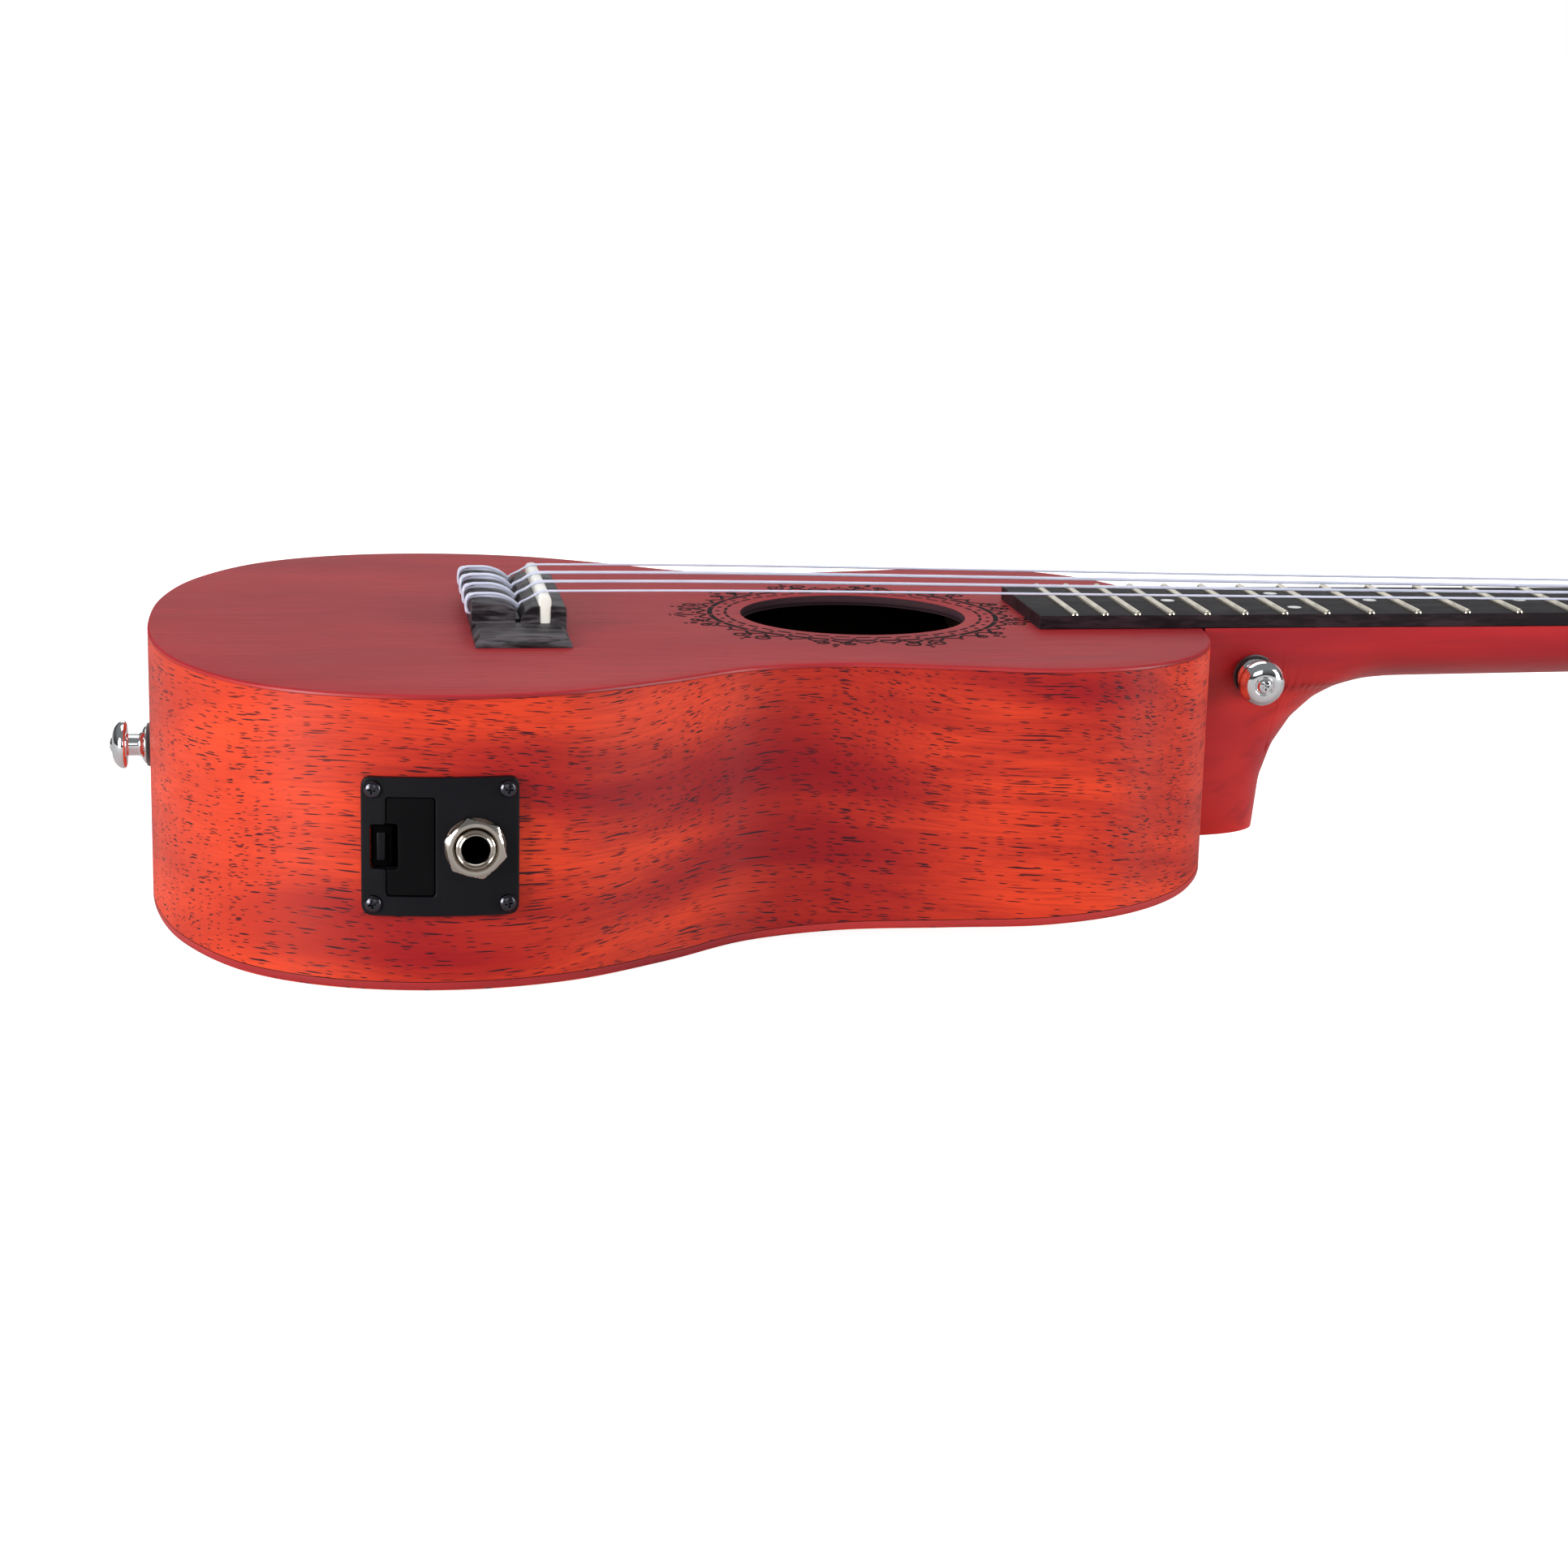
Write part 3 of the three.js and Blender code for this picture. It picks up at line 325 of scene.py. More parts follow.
def painted_light_band(shader, vector, centre, reach):
    """A soft, ragged band across both sides, a given distance round from the tail: the mask for painted light
    and painted shade on the sides.
    """
    along = shader.node("SeparateXYZ", inputs={"Vector": vector})
    away = shader.math("ABSOLUTE", shader.math("SUBTRACT", shader.math("ABSOLUTE", along), centre))
    ragged = shader.noise(vector, (14, 60, 60), detail=2)
    away = shader.math("ADD", away, shader.scaled(shader.math("SUBTRACT", ragged, 0.5), 0.03))
    return shader.ramp(away, reach, reach / 5)


def stained_side_material():
    shader = Shader("stained_side", specular_ior_level=0.22)
    plain = shader.coordinates("grain")
    grain = warped(shader, warped(shader, plain, 0.045, (7, 5, 5)), 0.007)
    broad = shader.noise(grain, (9, 42, 42), detail=2, location=(5.1, 0, 0))
    streak = shader.noise(grain, (9, 150, 150), detail=4, distortion=0.6)
    fibre = shader.noise(grain, (60, 1500, 1500))
    color = shader.mix(shader.ramp(broad, 0.30, 0.66), (0.33, 0.007, 0.011), (0.78, 0.056, 0.016))
    color = shader.tint(color, shader.ramp(streak, 0.42, 0.72), 0.42, (0.30, 0.008, 0.012))
    color = shader.tint(color, shader.ramp(fibre, 0.4, 0.72), 0.32, (0.2, 0.006, 0.01))
    # Painted light: a brighter band round the lower bout near the tail, where the left lamp falls.
    color = shader.tint(color, painted_light_band(shader, plain, 0.06, 0.075), 0.4, (0.90, 0.085, 0.020))
    # Painted shade: a darker band across the waist, where the sides curve in away from the side lamps.
    color = shader.tint(color, painted_light_band(shader, plain, 0.242, 0.042), 0.55, (0.22, 0.004, 0.010))
    clusters = shader.noise(grain, (14, 95, 95), detail=2, location=(7, 0, 0))
    dark = pores(shader, grain, 0.0046, 0.00042, 0.42, clusters)
    for length, width, share in ((0.0105, 0.00055, 0.36), (0.0220, 0.00072, 0.22)):
        dark = shader.math("MAXIMUM", dark, pores(shader, grain, length, width, share, clusters))
    color = shader.tint(color, dark, 0.95, (0.016, 0.005, 0.012))
    shader.set("Roughness", shader.scaled(fibre, 0.16, 0.36))
    return shader.finish(color, shader.math("SUBTRACT", shader.scaled(fibre, 0.25), dark), 0.0001)


def stained_top_material():
    shader = Shader("stained_top", specular_ior_level=0.16)
    grain = warped(shader, shader.coordinates(), 0.004)
    cloud = shader.noise(grain, (10, 22, 22), detail=2)
    streak = shader.noise(grain, (14, 420, 420), distortion=0.3)
    fibre = shader.noise(grain, (60, 1600, 1600))
    color = shader.mix(shader.ramp(cloud, 0.3, 0.7), (0.35, 0.015, 0.022), (0.44, 0.024, 0.030))
    color = shader.tint(color, shader.ramp(streak, 0.5, 0.8), 0.5, (0.24, 0.018, 0.026))
    color = shader.tint(color, shader.ramp(fibre, 0.4, 0.75), 0.25, (0.19, 0.014, 0.02))
    fine = pores(shader, grain, 0.005, 0.0005, 0.07, shader.noise(grain, (12, 60, 60), detail=1))
    color = shader.tint(color, fine, 0.5, (0.09, 0.012, 0.02))
    shader.set("Roughness", shader.scaled(fibre, 0.14, 0.5))
    return shader.finish(color, shader.math("SUBTRACT", fibre, fine), 0.00006)


def rim_material():
    """The edges of the soundboard and the back, where the stain is brighter than on the soundboard's face."""
    shader = Shader("stained_rim", roughness=0.42, specular_ior_level=0.4)
    cloud = shader.noise(shader.coordinates(), (14, 14, 60), detail=2, location=(2.1, 0, 0))
    fibre = shader.noise(shader.coordinates(), (120, 120, 1400))
    color = shader.mix(shader.ramp(cloud, 0.35, 0.65), (0.30, 0.012, 0.018), (0.52, 0.036, 0.034))
    return shader.finish(shader.tint(color, fibre, 0.3, (0.25, 0.010, 0.016)), fibre, 0.00004)


def stained_neck_material():
    shader = Shader("stained_neck", specular_ior_level=0.4)
    grain = warped(shader, shader.coordinates(), 0.006)
    broad = shader.noise(grain, (9, 40, 40), detail=2, location=(1.7, 0, 0))
    streak = shader.noise(grain, (12, 260, 260), distortion=0.5)
    fibre = shader.noise(grain, (50, 1500, 1500), detail=2)
    color = shader.mix(shader.ramp(broad, 0.32, 0.68), (0.40, 0.008, 0.014), (0.60, 0.022, 0.018))
    color = shader.tint(color, shader.ramp(streak, 0.45, 0.75), 0.45, (0.27, 0.008, 0.015))
    shader.set("Roughness", shader.scaled(fibre, 0.12, 0.3))
    return shader.finish(color, fibre, 0.00004)


def dark_wood_material(name, light, dark, specular):
    """Oiled dark wood with fine, broken streaks along the neck."""
    shader = Shader(name, specular_ior_level=specular)
    grain = shader.coordinates()
    streak = shader.noise(grain, (170, 1100, 1100), detail=4, distortion=0.5)
    patch = shader.noise(grain, (60, 220, 220))
    level = shader.math("MULTIPLY", streak, patch)
    shader.set("Roughness", shader.scaled(streak, 0.25, 0.38))
    return shader.finish(shader.mix(shader.ramp(level, 0.16, 0.36), dark, light), streak, 0.0001)


def shaded_bare_wood_material():
    """Unfinished wood inside the body, its colour painted very dark as painted shade for the deep shade
    behind the sound hole.
    """
    shader = Shader("bare_wood", roughness=0.85, specular_ior_level=0.2)
    grain = warped(shader, shader.coordinates(), 0.006)
    rings = shader.noise(grain, (6, 260, 260), distortion=0.4)
    fibre = shader.noise(grain, (60, 1500, 1500), detail=2)
    # Painted shade: both colours are far darker than bare wood, standing for the shade inside the body.
    color = shader.mix(shader.ramp(rings, 0.35, 0.7), (0.026, 0.013, 0.008), (0.014, 0.007, 0.005))
    return shader.finish(shader.tint(color, fibre, 0.3, (0.008, 0.004, 0.003)), fibre, 0.0001)


def laminate_material():
    """The edge of the laminated soundboard round the sound hole, in dark layers."""
    shader = Shader("laminate_edge", roughness=0.7, specular_ior_level=0.08)
    layers = shader.noise(shader.coordinates(), (8, 8, 1100), detail=1)
    fibre = shader.noise(shader.coordinates(), (300, 300, 900))
    color = shader.mix(shader.ramp(layers, 0.35, 0.65), (0.016, 0.008, 0.011), (0.075, 0.038, 0.046))
    return shader.finish(shader.tint(color, fibre, 0.4, (0.02, 0.01, 0.014)), fibre, 0.0001)


def metal_material(name, color, roughness, wear):
    """A metal with faint smears, more of them with more wear, and hairline scratches."""
    shader = Shader(name, metallic=1.0)
    smear = shader.noise(shader.coordinates(), (220, 220, 220), detail=4)
    scratch = shader.noise(shader.coordinates(), (300, 6000, 2500), detail=2)
    shader.set("Roughness", shader.scaled(smear, wear, roughness - wear / 3))
    return shader.finish((*color, 1), scratch, 0.00001, 0.3)


def plastic_material(name, color, roughness, texture=0.00003, grain=5200, specular=0.5):
    """A moulded surface with a fine texture and faint lighter smears."""
    shader = Shader(name, specular_ior_level=specular)
    speckle = shader.noise(shader.coordinates(), (grain, grain, grain), detail=2)
    smear = shader.noise(shader.coordinates(), (90, 90, 90))
    lighter = tuple(min(channel * 1.6 + 0.004, 1) for channel in color)
    shader.set("Roughness", shader.scaled(smear, 0.14, roughness - 0.07))
    return shader.finish(shader.tint(color, smear, 0.6, lighter), speckle, texture)


def felt_material():
    shader = Shader("black_felt", roughness=0.95, sheen_weight=0.5, sheen_roughness=0.5)
    fuzz = shader.noise(shader.coordinates(), (2500, 2500, 2500), detail=5, distortion=1.5)
    color = shader.mix(shader.ramp(fuzz, 0.4, 0.7), (0.006, 0.006, 0.007), (0.03, 0.03, 0.034))
    return shader.finish(color, fuzz, 0.0003, 0.8)


def nylon_material():
    shader = Shader("nylon", coat_weight=0.4, coat_roughness=0.1)
    cloud = shader.noise(shader.coordinates(), (120, 900, 900))
    shader.set("Base Color", shader.mix(cloud, (0.50, 0.53, 0.70), (0.78, 0.80, 0.94)))
    shader.set("Roughness", shader.scaled(cloud, 0.1, 0.2))
    return shader.material


MATERIALS = {
    "stained_top": stained_top_material(),
    "stained_side": stained_side_material(),
    "stained_neck": stained_neck_material(),
    "bare_wood": shaded_bare_wood_material(),
    "bridge_wood": dark_wood_material("bridge_wood", (0.095, 0.084, 0.092), (0.008, 0.006, 0.008), 0.2),
    "board_wood": dark_wood_material("board_wood", (0.030, 0.026, 0.029), (0.009, 0.007, 0.009), 0.04),
    "board_edge": dark_wood_material("board_edge", (0.030, 0.017, 0.022), (0.010, 0.006, 0.008), 0.15),
    "laminate": laminate_material(),
    "stained_rim": rim_material(),
    "bone": plastic_material("bone", (0.90, 0.88, 0.78), 0.3, 0.00002, 2500),
    "fret_wire": metal_material("fret_wire", (0.66, 0.61, 0.5), 0.3, 0.15),
    "chrome": metal_material("chrome", (0.86, 0.87, 0.88), 0.07, 0.06),
    "nickel": metal_material("nickel", (0.56, 0.51, 0.45), 0.12, 0.06),
    "tarnished": metal_material("tarnished", (0.16, 0.12, 0.10), 0.25, 0.1),
    "piezo_metal": metal_material("piezo_metal", (0.6, 0.6, 0.6), 0.35, 0.1),
    "black_plastic": plastic_material("black_plastic", (0.0028, 0.0028, 0.0046), 0.4, specular=0.17),
    "door_plastic": plastic_material("door_plastic", (0.0010, 0.0009, 0.0014), 0.45, specular=0.08),
    "shaded_plastic": plastic_material("shaded_plastic", (0.0004, 0.0004, 0.0005), 0.7, specular=0.02),
    "black_steel": metal_material("black_steel", (0.07, 0.07, 0.082), 0.2, 0.08),
    "black_inlay": plastic_material("black_inlay", (0.006, 0.004, 0.005), 0.7, specular=0.05),
    "pearl_dot": plastic_material("pearl_dot", (0.78, 0.79, 0.76), 0.25, 0.00001, 900),
    "black_felt": felt_material(),
    "nylon": nylon_material(),
}


# --- Pieces and mesh tools -----------------------------------------------------------------------

def place_piece(name, mesh, material, body, stands_for=(), sharp=35):
    mesh.name = name
    mesh.materials.clear()
    mesh.materials.append(MATERIALS[material])
    mesh.polygons.foreach_set("use_smooth", [True] * len(mesh.polygons))
    mesh.set_sharp_from_angle(angle=math.radians(sharp))
    piece = bpy.data.objects.new(name, mesh)
    bpy.context.scene.collection.objects.link(piece)
    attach(piece, body)
    if stands_for:
        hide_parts(*stands_for)
    return piece


def mesh_of(points, faces):
    """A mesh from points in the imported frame, with every face turned outwards."""
    mesh = bpy.data.meshes.new("mesh")
    mesh.from_pydata([tuple(point) for point in points], [], faces)
    bm = opened(mesh)
    bmesh.ops.remove_doubles(bm, verts=bm.verts, dist=1e-7)
    bmesh.ops.recalc_face_normals(bm, faces=bm.faces)
    return closed(bm)


def skin(rings, is_hoop=False):
    """Points and faces over a row of closed rings, with capped ends unless the row is a hoop."""
    count = len(rings[0])
    points = [point for ring in rings for point in ring]
    faces = []
    for i in range(0 if is_hoop else 1, len(rings)):
        behind = ((i - 1) % len(rings)) * count
        ahead = i * count
        for j in range(count):
            k = (j + 1) % count
            faces.append((behind + j, ahead + j, ahead + k, behind + k))
    if not is_hoop:
        last = (len(rings) - 1) * count
        faces.append(tuple(range(count)))
        faces.append(tuple(range(last, last + count)))
    return points, faces


def circle(count):
    """Cosine and sine at even steps round a circle."""
    angles = [2 * math.pi * k / count for k in range(count)]
    return [(math.cos(angle), math.sin(angle)) for angle in angles]


def eased(t):
    """From 0 to 1 with a soft start and end."""
    t = min(max(t, 0), 1)
    return t * t * (3 - 2 * t)


def opened(mesh):
    """A bmesh copy of a mesh, to work on."""
    bm = bmesh.new()
    bm.from_mesh(mesh)
    return bm


def closed(bm):
    """A new mesh from a finished bmesh."""
    mesh = bpy.data.meshes.new("mesh")
    bm.to_mesh(mesh)
    bm.free()
    return mesh


def paint(mesh, materials, choose):
    """Adds materials to a piece; choose() gives a face's material number, 0 for the piece's first."""
    for material in materials:
        mesh.materials.append(MATERIALS[material])
    for face in mesh.polygons:
        face.material_index = choose(face)


def store_grain(mesh, values):
    """Keeps a vector for each vertex that the stain's grain follows."""
    attribute = mesh.attributes.new("grain", "FLOAT_VECTOR", "POINT")
    attribute.data.foreach_set("vector", [number for value in values for number in value])


def rounded(corners, radius, steps=4):
    """A polyline with each inner corner replaced by a small curve."""
    points = [Vector(corners[0])]
    for before, corner, after in zip(corners, corners[1:], corners[2:]):
        before, corner, after = Vector(before), Vector(corner), Vector(after)
        reach = min(radius, (before - corner).length * 0.49, (after - corner).length * 0.49)
        start = corner + (before - corner).normalized() * reach
        end = corner + (after - corner).normalized() * reach
        for i in range(steps + 1):
            t = i / steps
            points.append(start.lerp(corner, t).lerp(corner.lerp(end, t), t))
    points.append(Vector(corners[-1]))
    return points


def lathe(profile, origin, direction, segments=64, radius=0.0):
    """A turned shape: (radius, height) pairs in mm, standing on origin along direction."""
    outline = rounded(profile, radius) if radius else [Vector(corner) for corner in profile]
    turn = Vector((0, 0, 1)).rotation_difference(Vector(direction)).to_matrix()
    rings = []
    for point in outline:
        ring = [Vector((point.x * c, point.x * s, point.y)) for c, s in circle(segments)]
        rings.append([Vector(origin) + (turn @ spot) * MM for spot in ring])
    is_hoop = (outline[0] - outline[-1]).length < 1e-6
    return mesh_of(*skin(rings[:-1] if is_hoop else rings, is_hoop=is_hoop))


def smooth_path(points, step):
    """Points every step mm along a smooth curve through the given points."""
    points = [Vector(p) for p in points]
    padded = [points[0] * 2 - points[1], *points, points[-1] * 2 - points[-2]]
    path = [points[0]]
    for a, b, c, d in zip(padded, padded[1:], padded[2:], padded[3:]):
        count = max(int((c - b).length / step), 1)
        for i in range(1, count + 1):
            path.append(spline_point(a, b, c, d, i / count))
    return path


def spline_point(a, b, c, d, t):
    """A point on the centripetal Catmull-Rom curve from b to c."""
    first = max((b - a).length, 1e-6) ** 0.5
    middle = max((c - b).length, 1e-6) ** 0.5
    last = max((d - c).length, 1e-6) ** 0.5
    out = ((b - a) / first - (c - a) / (first + middle) + (c - b) / middle) * middle
    into = ((c - b) / middle - (d - b) / (middle + last) + (d - c) / last) * middle
    square, cube = t * t, t * t * t
    return (b * (2 * cube - 3 * square + 1) + out * (cube - 2 * square + t)
            + c * (3 * square - 2 * cube) + into * (cube - square))


def tube(path, radius, sides=12):
    """Points and faces of a round wire along a path in mm, in the maker's frame."""
    normal = Vector((0, 1, 0))
    rings = []
    for i, point in enumerate(path):
        heading = (path[min(i + 1, len(path) - 1)] - path[max(i - 1, 0)]).normalized()
        normal = (normal - heading * normal.dot(heading)).normalized()
        binormal = heading.cross(normal)
        rings.append([at(*(point + (normal * c + binormal * s) * radius)) for c, s in circle(sides)])
    return skin(rings)


def merged(parts):
    """One mesh from several (points, faces) pairs."""
    points, faces = [], []
    for some_points, some_faces in parts:
        start = len(points)
        points.extend(some_points)
        faces.extend(tuple(start + index for index in face) for face in some_faces)
    return mesh_of(points, faces)


def refined(node, width, angle=30):
    """A copy of a CAD node's mesh with its flat faces joined and its edges rounded."""
    bm = opened(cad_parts[node].data)
    bmesh.ops.remove_doubles(bm, verts=bm.verts, dist=2e-6)
    bmesh.ops.dissolve_limit(bm, angle_limit=math.radians(0.6), verts=bm.verts, edges=bm.edges)
    sharp = [e for e in bm.edges if len(e.link_faces) == 2 and e.calc_face_angle(0) > math.radians(angle)]
    bmesh.ops.bevel(
        bm, geom=sharp, offset=width * MM, segments=2, profile=0.5, affect="EDGES", clamp_overlap=True,
    )
    return closed(bm)


def replace_refined(node, width, material, body="instrument"):
    place_piece(node + "_finished", refined(node, width), material, body, [node], sharp=40)


def keep(node, material):
    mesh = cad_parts[node].data
    mesh.materials.clear()
    mesh.materials.append(MATERIALS[material])


# --- Body ----------------------------------------------------------------------------------------

HALF_OUTLINE = [
    (0, 0), (1.9, 30), (9.3, 58.2), (25, 83.5), (45, 96.3), (71, 100.8), (98, 96.2), (122, 83.5),
    (143, 69.9), (166, 65.8), (192, 70), (215, 74.4), (236, 71.2), (251, 60.8), (261.6, 43),
    (266, 22), (BODY_LENGTH, 0),
]
OUTLINE_STEPS = 12


def outline_samples():
    """(point, outward direction, distance along) round the bass half, from tail to neck."""
    half = [Vector((x, y, 0)) for x, y in HALF_OUTLINE]
    before = Vector((half[1].x, -half[1].y, 0))
    after = Vector((half[-2].x, -half[-2].y, 0))
    padded = [before, *half, after]
    points = [half[0]]
    for a, b, c, d in zip(padded, padded[1:], padded[2:], padded[3:]):
        points.extend(spline_point(a, b, c, d, i / OUTLINE_STEPS) for i in range(1, OUTLINE_STEPS + 1))
    samples = []
    distance = 0
    for i, point in enumerate(points):
        heading = (points[min(i + 1, len(points) - 1)] - points[max(i - 1, 0)]).normalized()
        if i in (0, len(points) - 1):
            heading = Vector((0, 1 if i == 0 else -1, 0))
        if i:
            distance += (point - points[i - 1]).length
        samples.append((point, Vector((-heading.y, heading.x, 0)), distance))
    return samples


HALF = outline_samples()


def full_outline(inset):
    bass = [point - outward * inset for point, outward, _ in HALF]
    treble = [Vector((p.x, -p.y, 0)) for p in bass[1:-1]]
    return bass + treble[::-1]


def back_z(x):
    along = max(x - 60, 0) / (BODY_LENGTH - 60)
    return 9.4 * along ** 2 - DEPTH


def soundboard_mesh():
    """The top plate from the lower edge of the hole, over the face, to the lower edge outside."""
    centre = Vector((HOLE_X, 0, 0))
    outer = full_outline(0)
    rings = []
    for extra, z in ((0, -TOP_THICK), (0, -0.35), (0.1, -0.1), (0.35, 0)):
        lift = Vector((0, 0, z))
        rings.append([centre + (p - centre).normalized() * (HOLE_RADIUS + extra) + lift for p in outer])
    face_edge = full_outline(0.8)
    for share in (0.3, 0.6, 0.85):
        rings.append([a.lerp(b, share) for a, b in zip(rings[3], face_edge)])
    edge = [(0.8, 0), (0.35, -0.1), (0.1, -0.35), (0, -0.6), (0, -0.95)]
    edge += [(0.3, -SEAM_DEPTH), (0.3, -TOP_THICK)]
    for inset, z in edge:
        rings.append([Vector((p.x, p.y, z)) for p in full_outline(inset)])
    return mesh_of(*skin([[at(*p) for p in ring] for ring in rings], is_hoop=True))


def add_soundboard():
    """The face, with the layers of the plate showing in the hole and a brighter edge outside."""
    piece = place_piece("soundboard_top", soundboard_mesh(), "stained_top", "instrument", ["soundboard"])
    centre = at(HOLE_X, 0, 0)

    def material_number(face):
        if (face.center - centre).xy.length < (HOLE_RADIUS + 0.2) * MM and abs(face.normal.z) < 0.9:
            return 1
        return 2 if abs(face.normal.z) < 0.5 else 0

    paint(piece.data, ["laminate", "stained_rim"], material_number)


def side_mesh(side, window=None):
    """One bent side, with its distance along the outline kept as the grain's own coordinate."""
    rows = 30
    wall = [(0.06, 0.0), (0.0, 0.06)] + [(0.0, None)] * (rows - 1) + [(0.0, -0.06), (0.06, 0.0)]
    points, coordinates, faces = [], [], []
    count = len(wall)

    def column(sample, is_outer):
        point, outward, distance = sample
        for j, (inset, edge) in enumerate(wall):
            depth = SIDE_THICK if not is_outer else inset
            spot = point - outward * depth
            low = back_z(spot.x) + BACK_THICK + 0.03
            high = -SEAM_DEPTH if is_outer else -TOP_THICK
            share = 0 if j < 2 else 1 if j > count - 3 else (j - 1) / rows
            z = high + (low - high) * share
            if edge and is_outer:
                z = high - edge if j < 2 else low - edge
            points.append(at(spot.x, side * spot.y, z))
            coordinates.append((distance * MM * side, z * MM, 0))

    for sample in HALF:
        column(sample, True)
    for sample in HALF:
        column(sample, False)
    inner_start = len(HALF) * count
    for start in (0, inner_start):
        for i in range(len(HALF) - 1):
            for j in range(count - 1):
                a = start + i * count + j
                corner = points[a]
                if window and window(corner):
                    continue
                faces.append((a, a + 1, a + 1 + count, a + count))
    for i in range(len(HALF) - 1):
        for j in (0, count - 1):
            a = i * count + j
            faces.append((a, a + count, a + count + inner_start, a + inner_start))
    for i in (0, len(HALF) - 1):
        for j in range(count - 1):
            a = i * count + j
            faces.append((a, a + 1, a + 1 + inner_start, a + inner_start))
    if window:
        faces.extend(window_edges(faces, inner_start))
    mesh = bpy.data.meshes.new("side")
    mesh.from_pydata([tuple(p) for p in points], [], faces)
    store_grain(mesh, coordinates)
    bm = opened(mesh)
    bmesh.ops.recalc_face_normals(bm, faces=bm.faces)
    return closed(bm)


def window_edges(faces, inner_start):
    """Faces that close the wall's thickness round the window."""
    uses = {}
    for face in faces:
        for a, b in zip(face, face[1:] + face[:1]):
            uses.setdefault(frozenset((a, b)), []).append((a, b))
    return [
        (a, b, b + inner_start, a + inner_start)
        for (a, b), in (pairs for pairs in uses.values() if len(pairs) == 1)
        if a < inner_start and b < inner_start
    ]


def in_preamp_window(point):
    """Whether a corner of the side's wall lies behind the preamp's plate."""
    low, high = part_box("preamp_case")
    margin = 1.2 * MM
    return (low.x - margin < point.x + 2 * MM < high.x + margin
            and low.z - margin < point.z - 1 * MM < high.z + margin)


def add_sides():
    """Both bent sides, stained outside, and bare inside with the inner colour painted dark as painted shade.
    """
    for name, mesh in (("side_bass", side_mesh(1)), ("side_treble", side_mesh(-1, in_preamp_window))):
        place_piece(name + "_bent", mesh, "stained_side", "instrument", [name])
        inner_start = len(mesh.vertices) // 2
        paint(mesh, ["bare_wood"], lambda face: int(min(face.vertices) >= inner_start))


def add_back():
    """The back plate, with its lower edge rounded over, bare where it faces into the body and painted dark
    there as painted shade.
    """
    profile = [(0.1, BACK_THICK), (0, BACK_THICK - 0.1), (0, 1.0), (0.12, 0.5), (0.4, 0.15), (1, 0)]
    rings = []
    for point, outward, _ in HALF:
        ring = []
        for inset, lift in profile:
            spot = point - outward * inset
            ring.append((spot.x, max(spot.y, 0), back_z(spot.x) + lift))
        x, y, z = ring[-1]
        middle = [(x, y * share, z) for share in (0.5, 0, -0.5)]
        other = [(x, -y, z) for x, y, z in reversed(ring)]
        rings.append([at(*spot) for spot in ring + middle + other])
    mesh = mesh_of(*skin(rings))
    store_grain(mesh, [(vertex.co.x + 1.3, vertex.co.y, 0) for vertex in mesh.vertices])
    place_piece("back_plate", mesh, "stained_side", "instrument", ["back"])

    def material_number(face):
        if face.normal.z > 0.5:
            return 1
        return 2 if face.normal.z > -0.5 else 0

    paint(mesh, ["bare_wood", "stained_rim"], material_number)


# --- Decoration round the sound hole -------------------------------------------------------------

def ribbon(path, width):
    """A flat strip along a path on the soundboard, with square ends."""
    section = [(-1, INLAY_BASE), (-1, INLAY_LIFT), (1, INLAY_LIFT), (1, INLAY_BASE)]
    rings = []
    for i, point in enumerate(path):
        heading = (path[min(i + 1, len(path) - 1)] - path[max(i - 1, 0)]).normalized()
        side = Vector((-heading.y, heading.x, 0)) * (width / 2)
        rings.append([at(point.x + side.x * share, point.y + side.y * share, z) for share, z in section])
    return skin(rings)


def disc(centre, radius, lift=INLAY_LIFT, sides=20, base=INLAY_BASE):
    return skin([
        [at(centre.x + c * radius, centre.y + s * radius, z) for c, s in circle(sides)] for z in (base, lift)
    ])


def polar(radius, angle):
    return Vector((HOLE_X + radius * math.cos(angle), radius * math.sin(angle), 0))


def arc(radius, start, end, steps=10):
    return [polar(radius, start + (end - start) * i / steps) for i in range(steps + 1)]


def curl(radius, angle, size, hand):
    """A stem that leaves the ring and winds into a small spiral."""
    centre = polar(radius + size, angle)
    path = []
    for i in range(29):
        turn = i / 28
        reach = size * (1 - 0.78 * turn)
        bearing = angle + math.pi + hand * turn * 2.6 * math.pi
        path.append(centre + Vector((math.cos(bearing), math.sin(bearing), 0)) * reach)
    return path


def add_rosette():
    """Two rings, a row of scallops with dots, and pairs of curls. A plain pattern made for this model."""
    parts = []
    for k in range(40):
        angle = 2 * math.pi * k / 40
        parts.append(ribbon(arc(33.0, angle + 0.015, angle + 0.125, 4), 0.75))
        parts.append(disc(polar(35.0, angle), 0.62))
        middle = angle + math.pi / 40
        scallop = [(38.2 + 2 * math.sin(math.pi * i / 8), middle + (i / 8 - 0.5) * 0.14) for i in range(9)]
        parts.append(ribbon([polar(*spot) for spot in scallop], 0.85))
        parts.append(disc(polar(41.3, middle), 0.5))
    for k in range(20):
        angle = 2 * math.pi * k / 20
        parts.append(ribbon(arc(37.0, angle + 0.015, angle + 0.299, 10), 1.3))
    for k in range(12):
        angle = 2 * math.pi * (k + 0.5) / 12
        size = 2.6 if k % 2 else 1.8
        for hand in (-1, 1):
            parts.append(ribbon(curl(40.4, angle + hand * 0.085, size, hand), 0.8))
        parts.append(disc(polar(42.4 + size, angle), 0.95))
        parts.append(disc(polar(44.6 + size, angle), 0.6))
    place_piece("rosette", merged(parts), "black_inlay", "instrument")


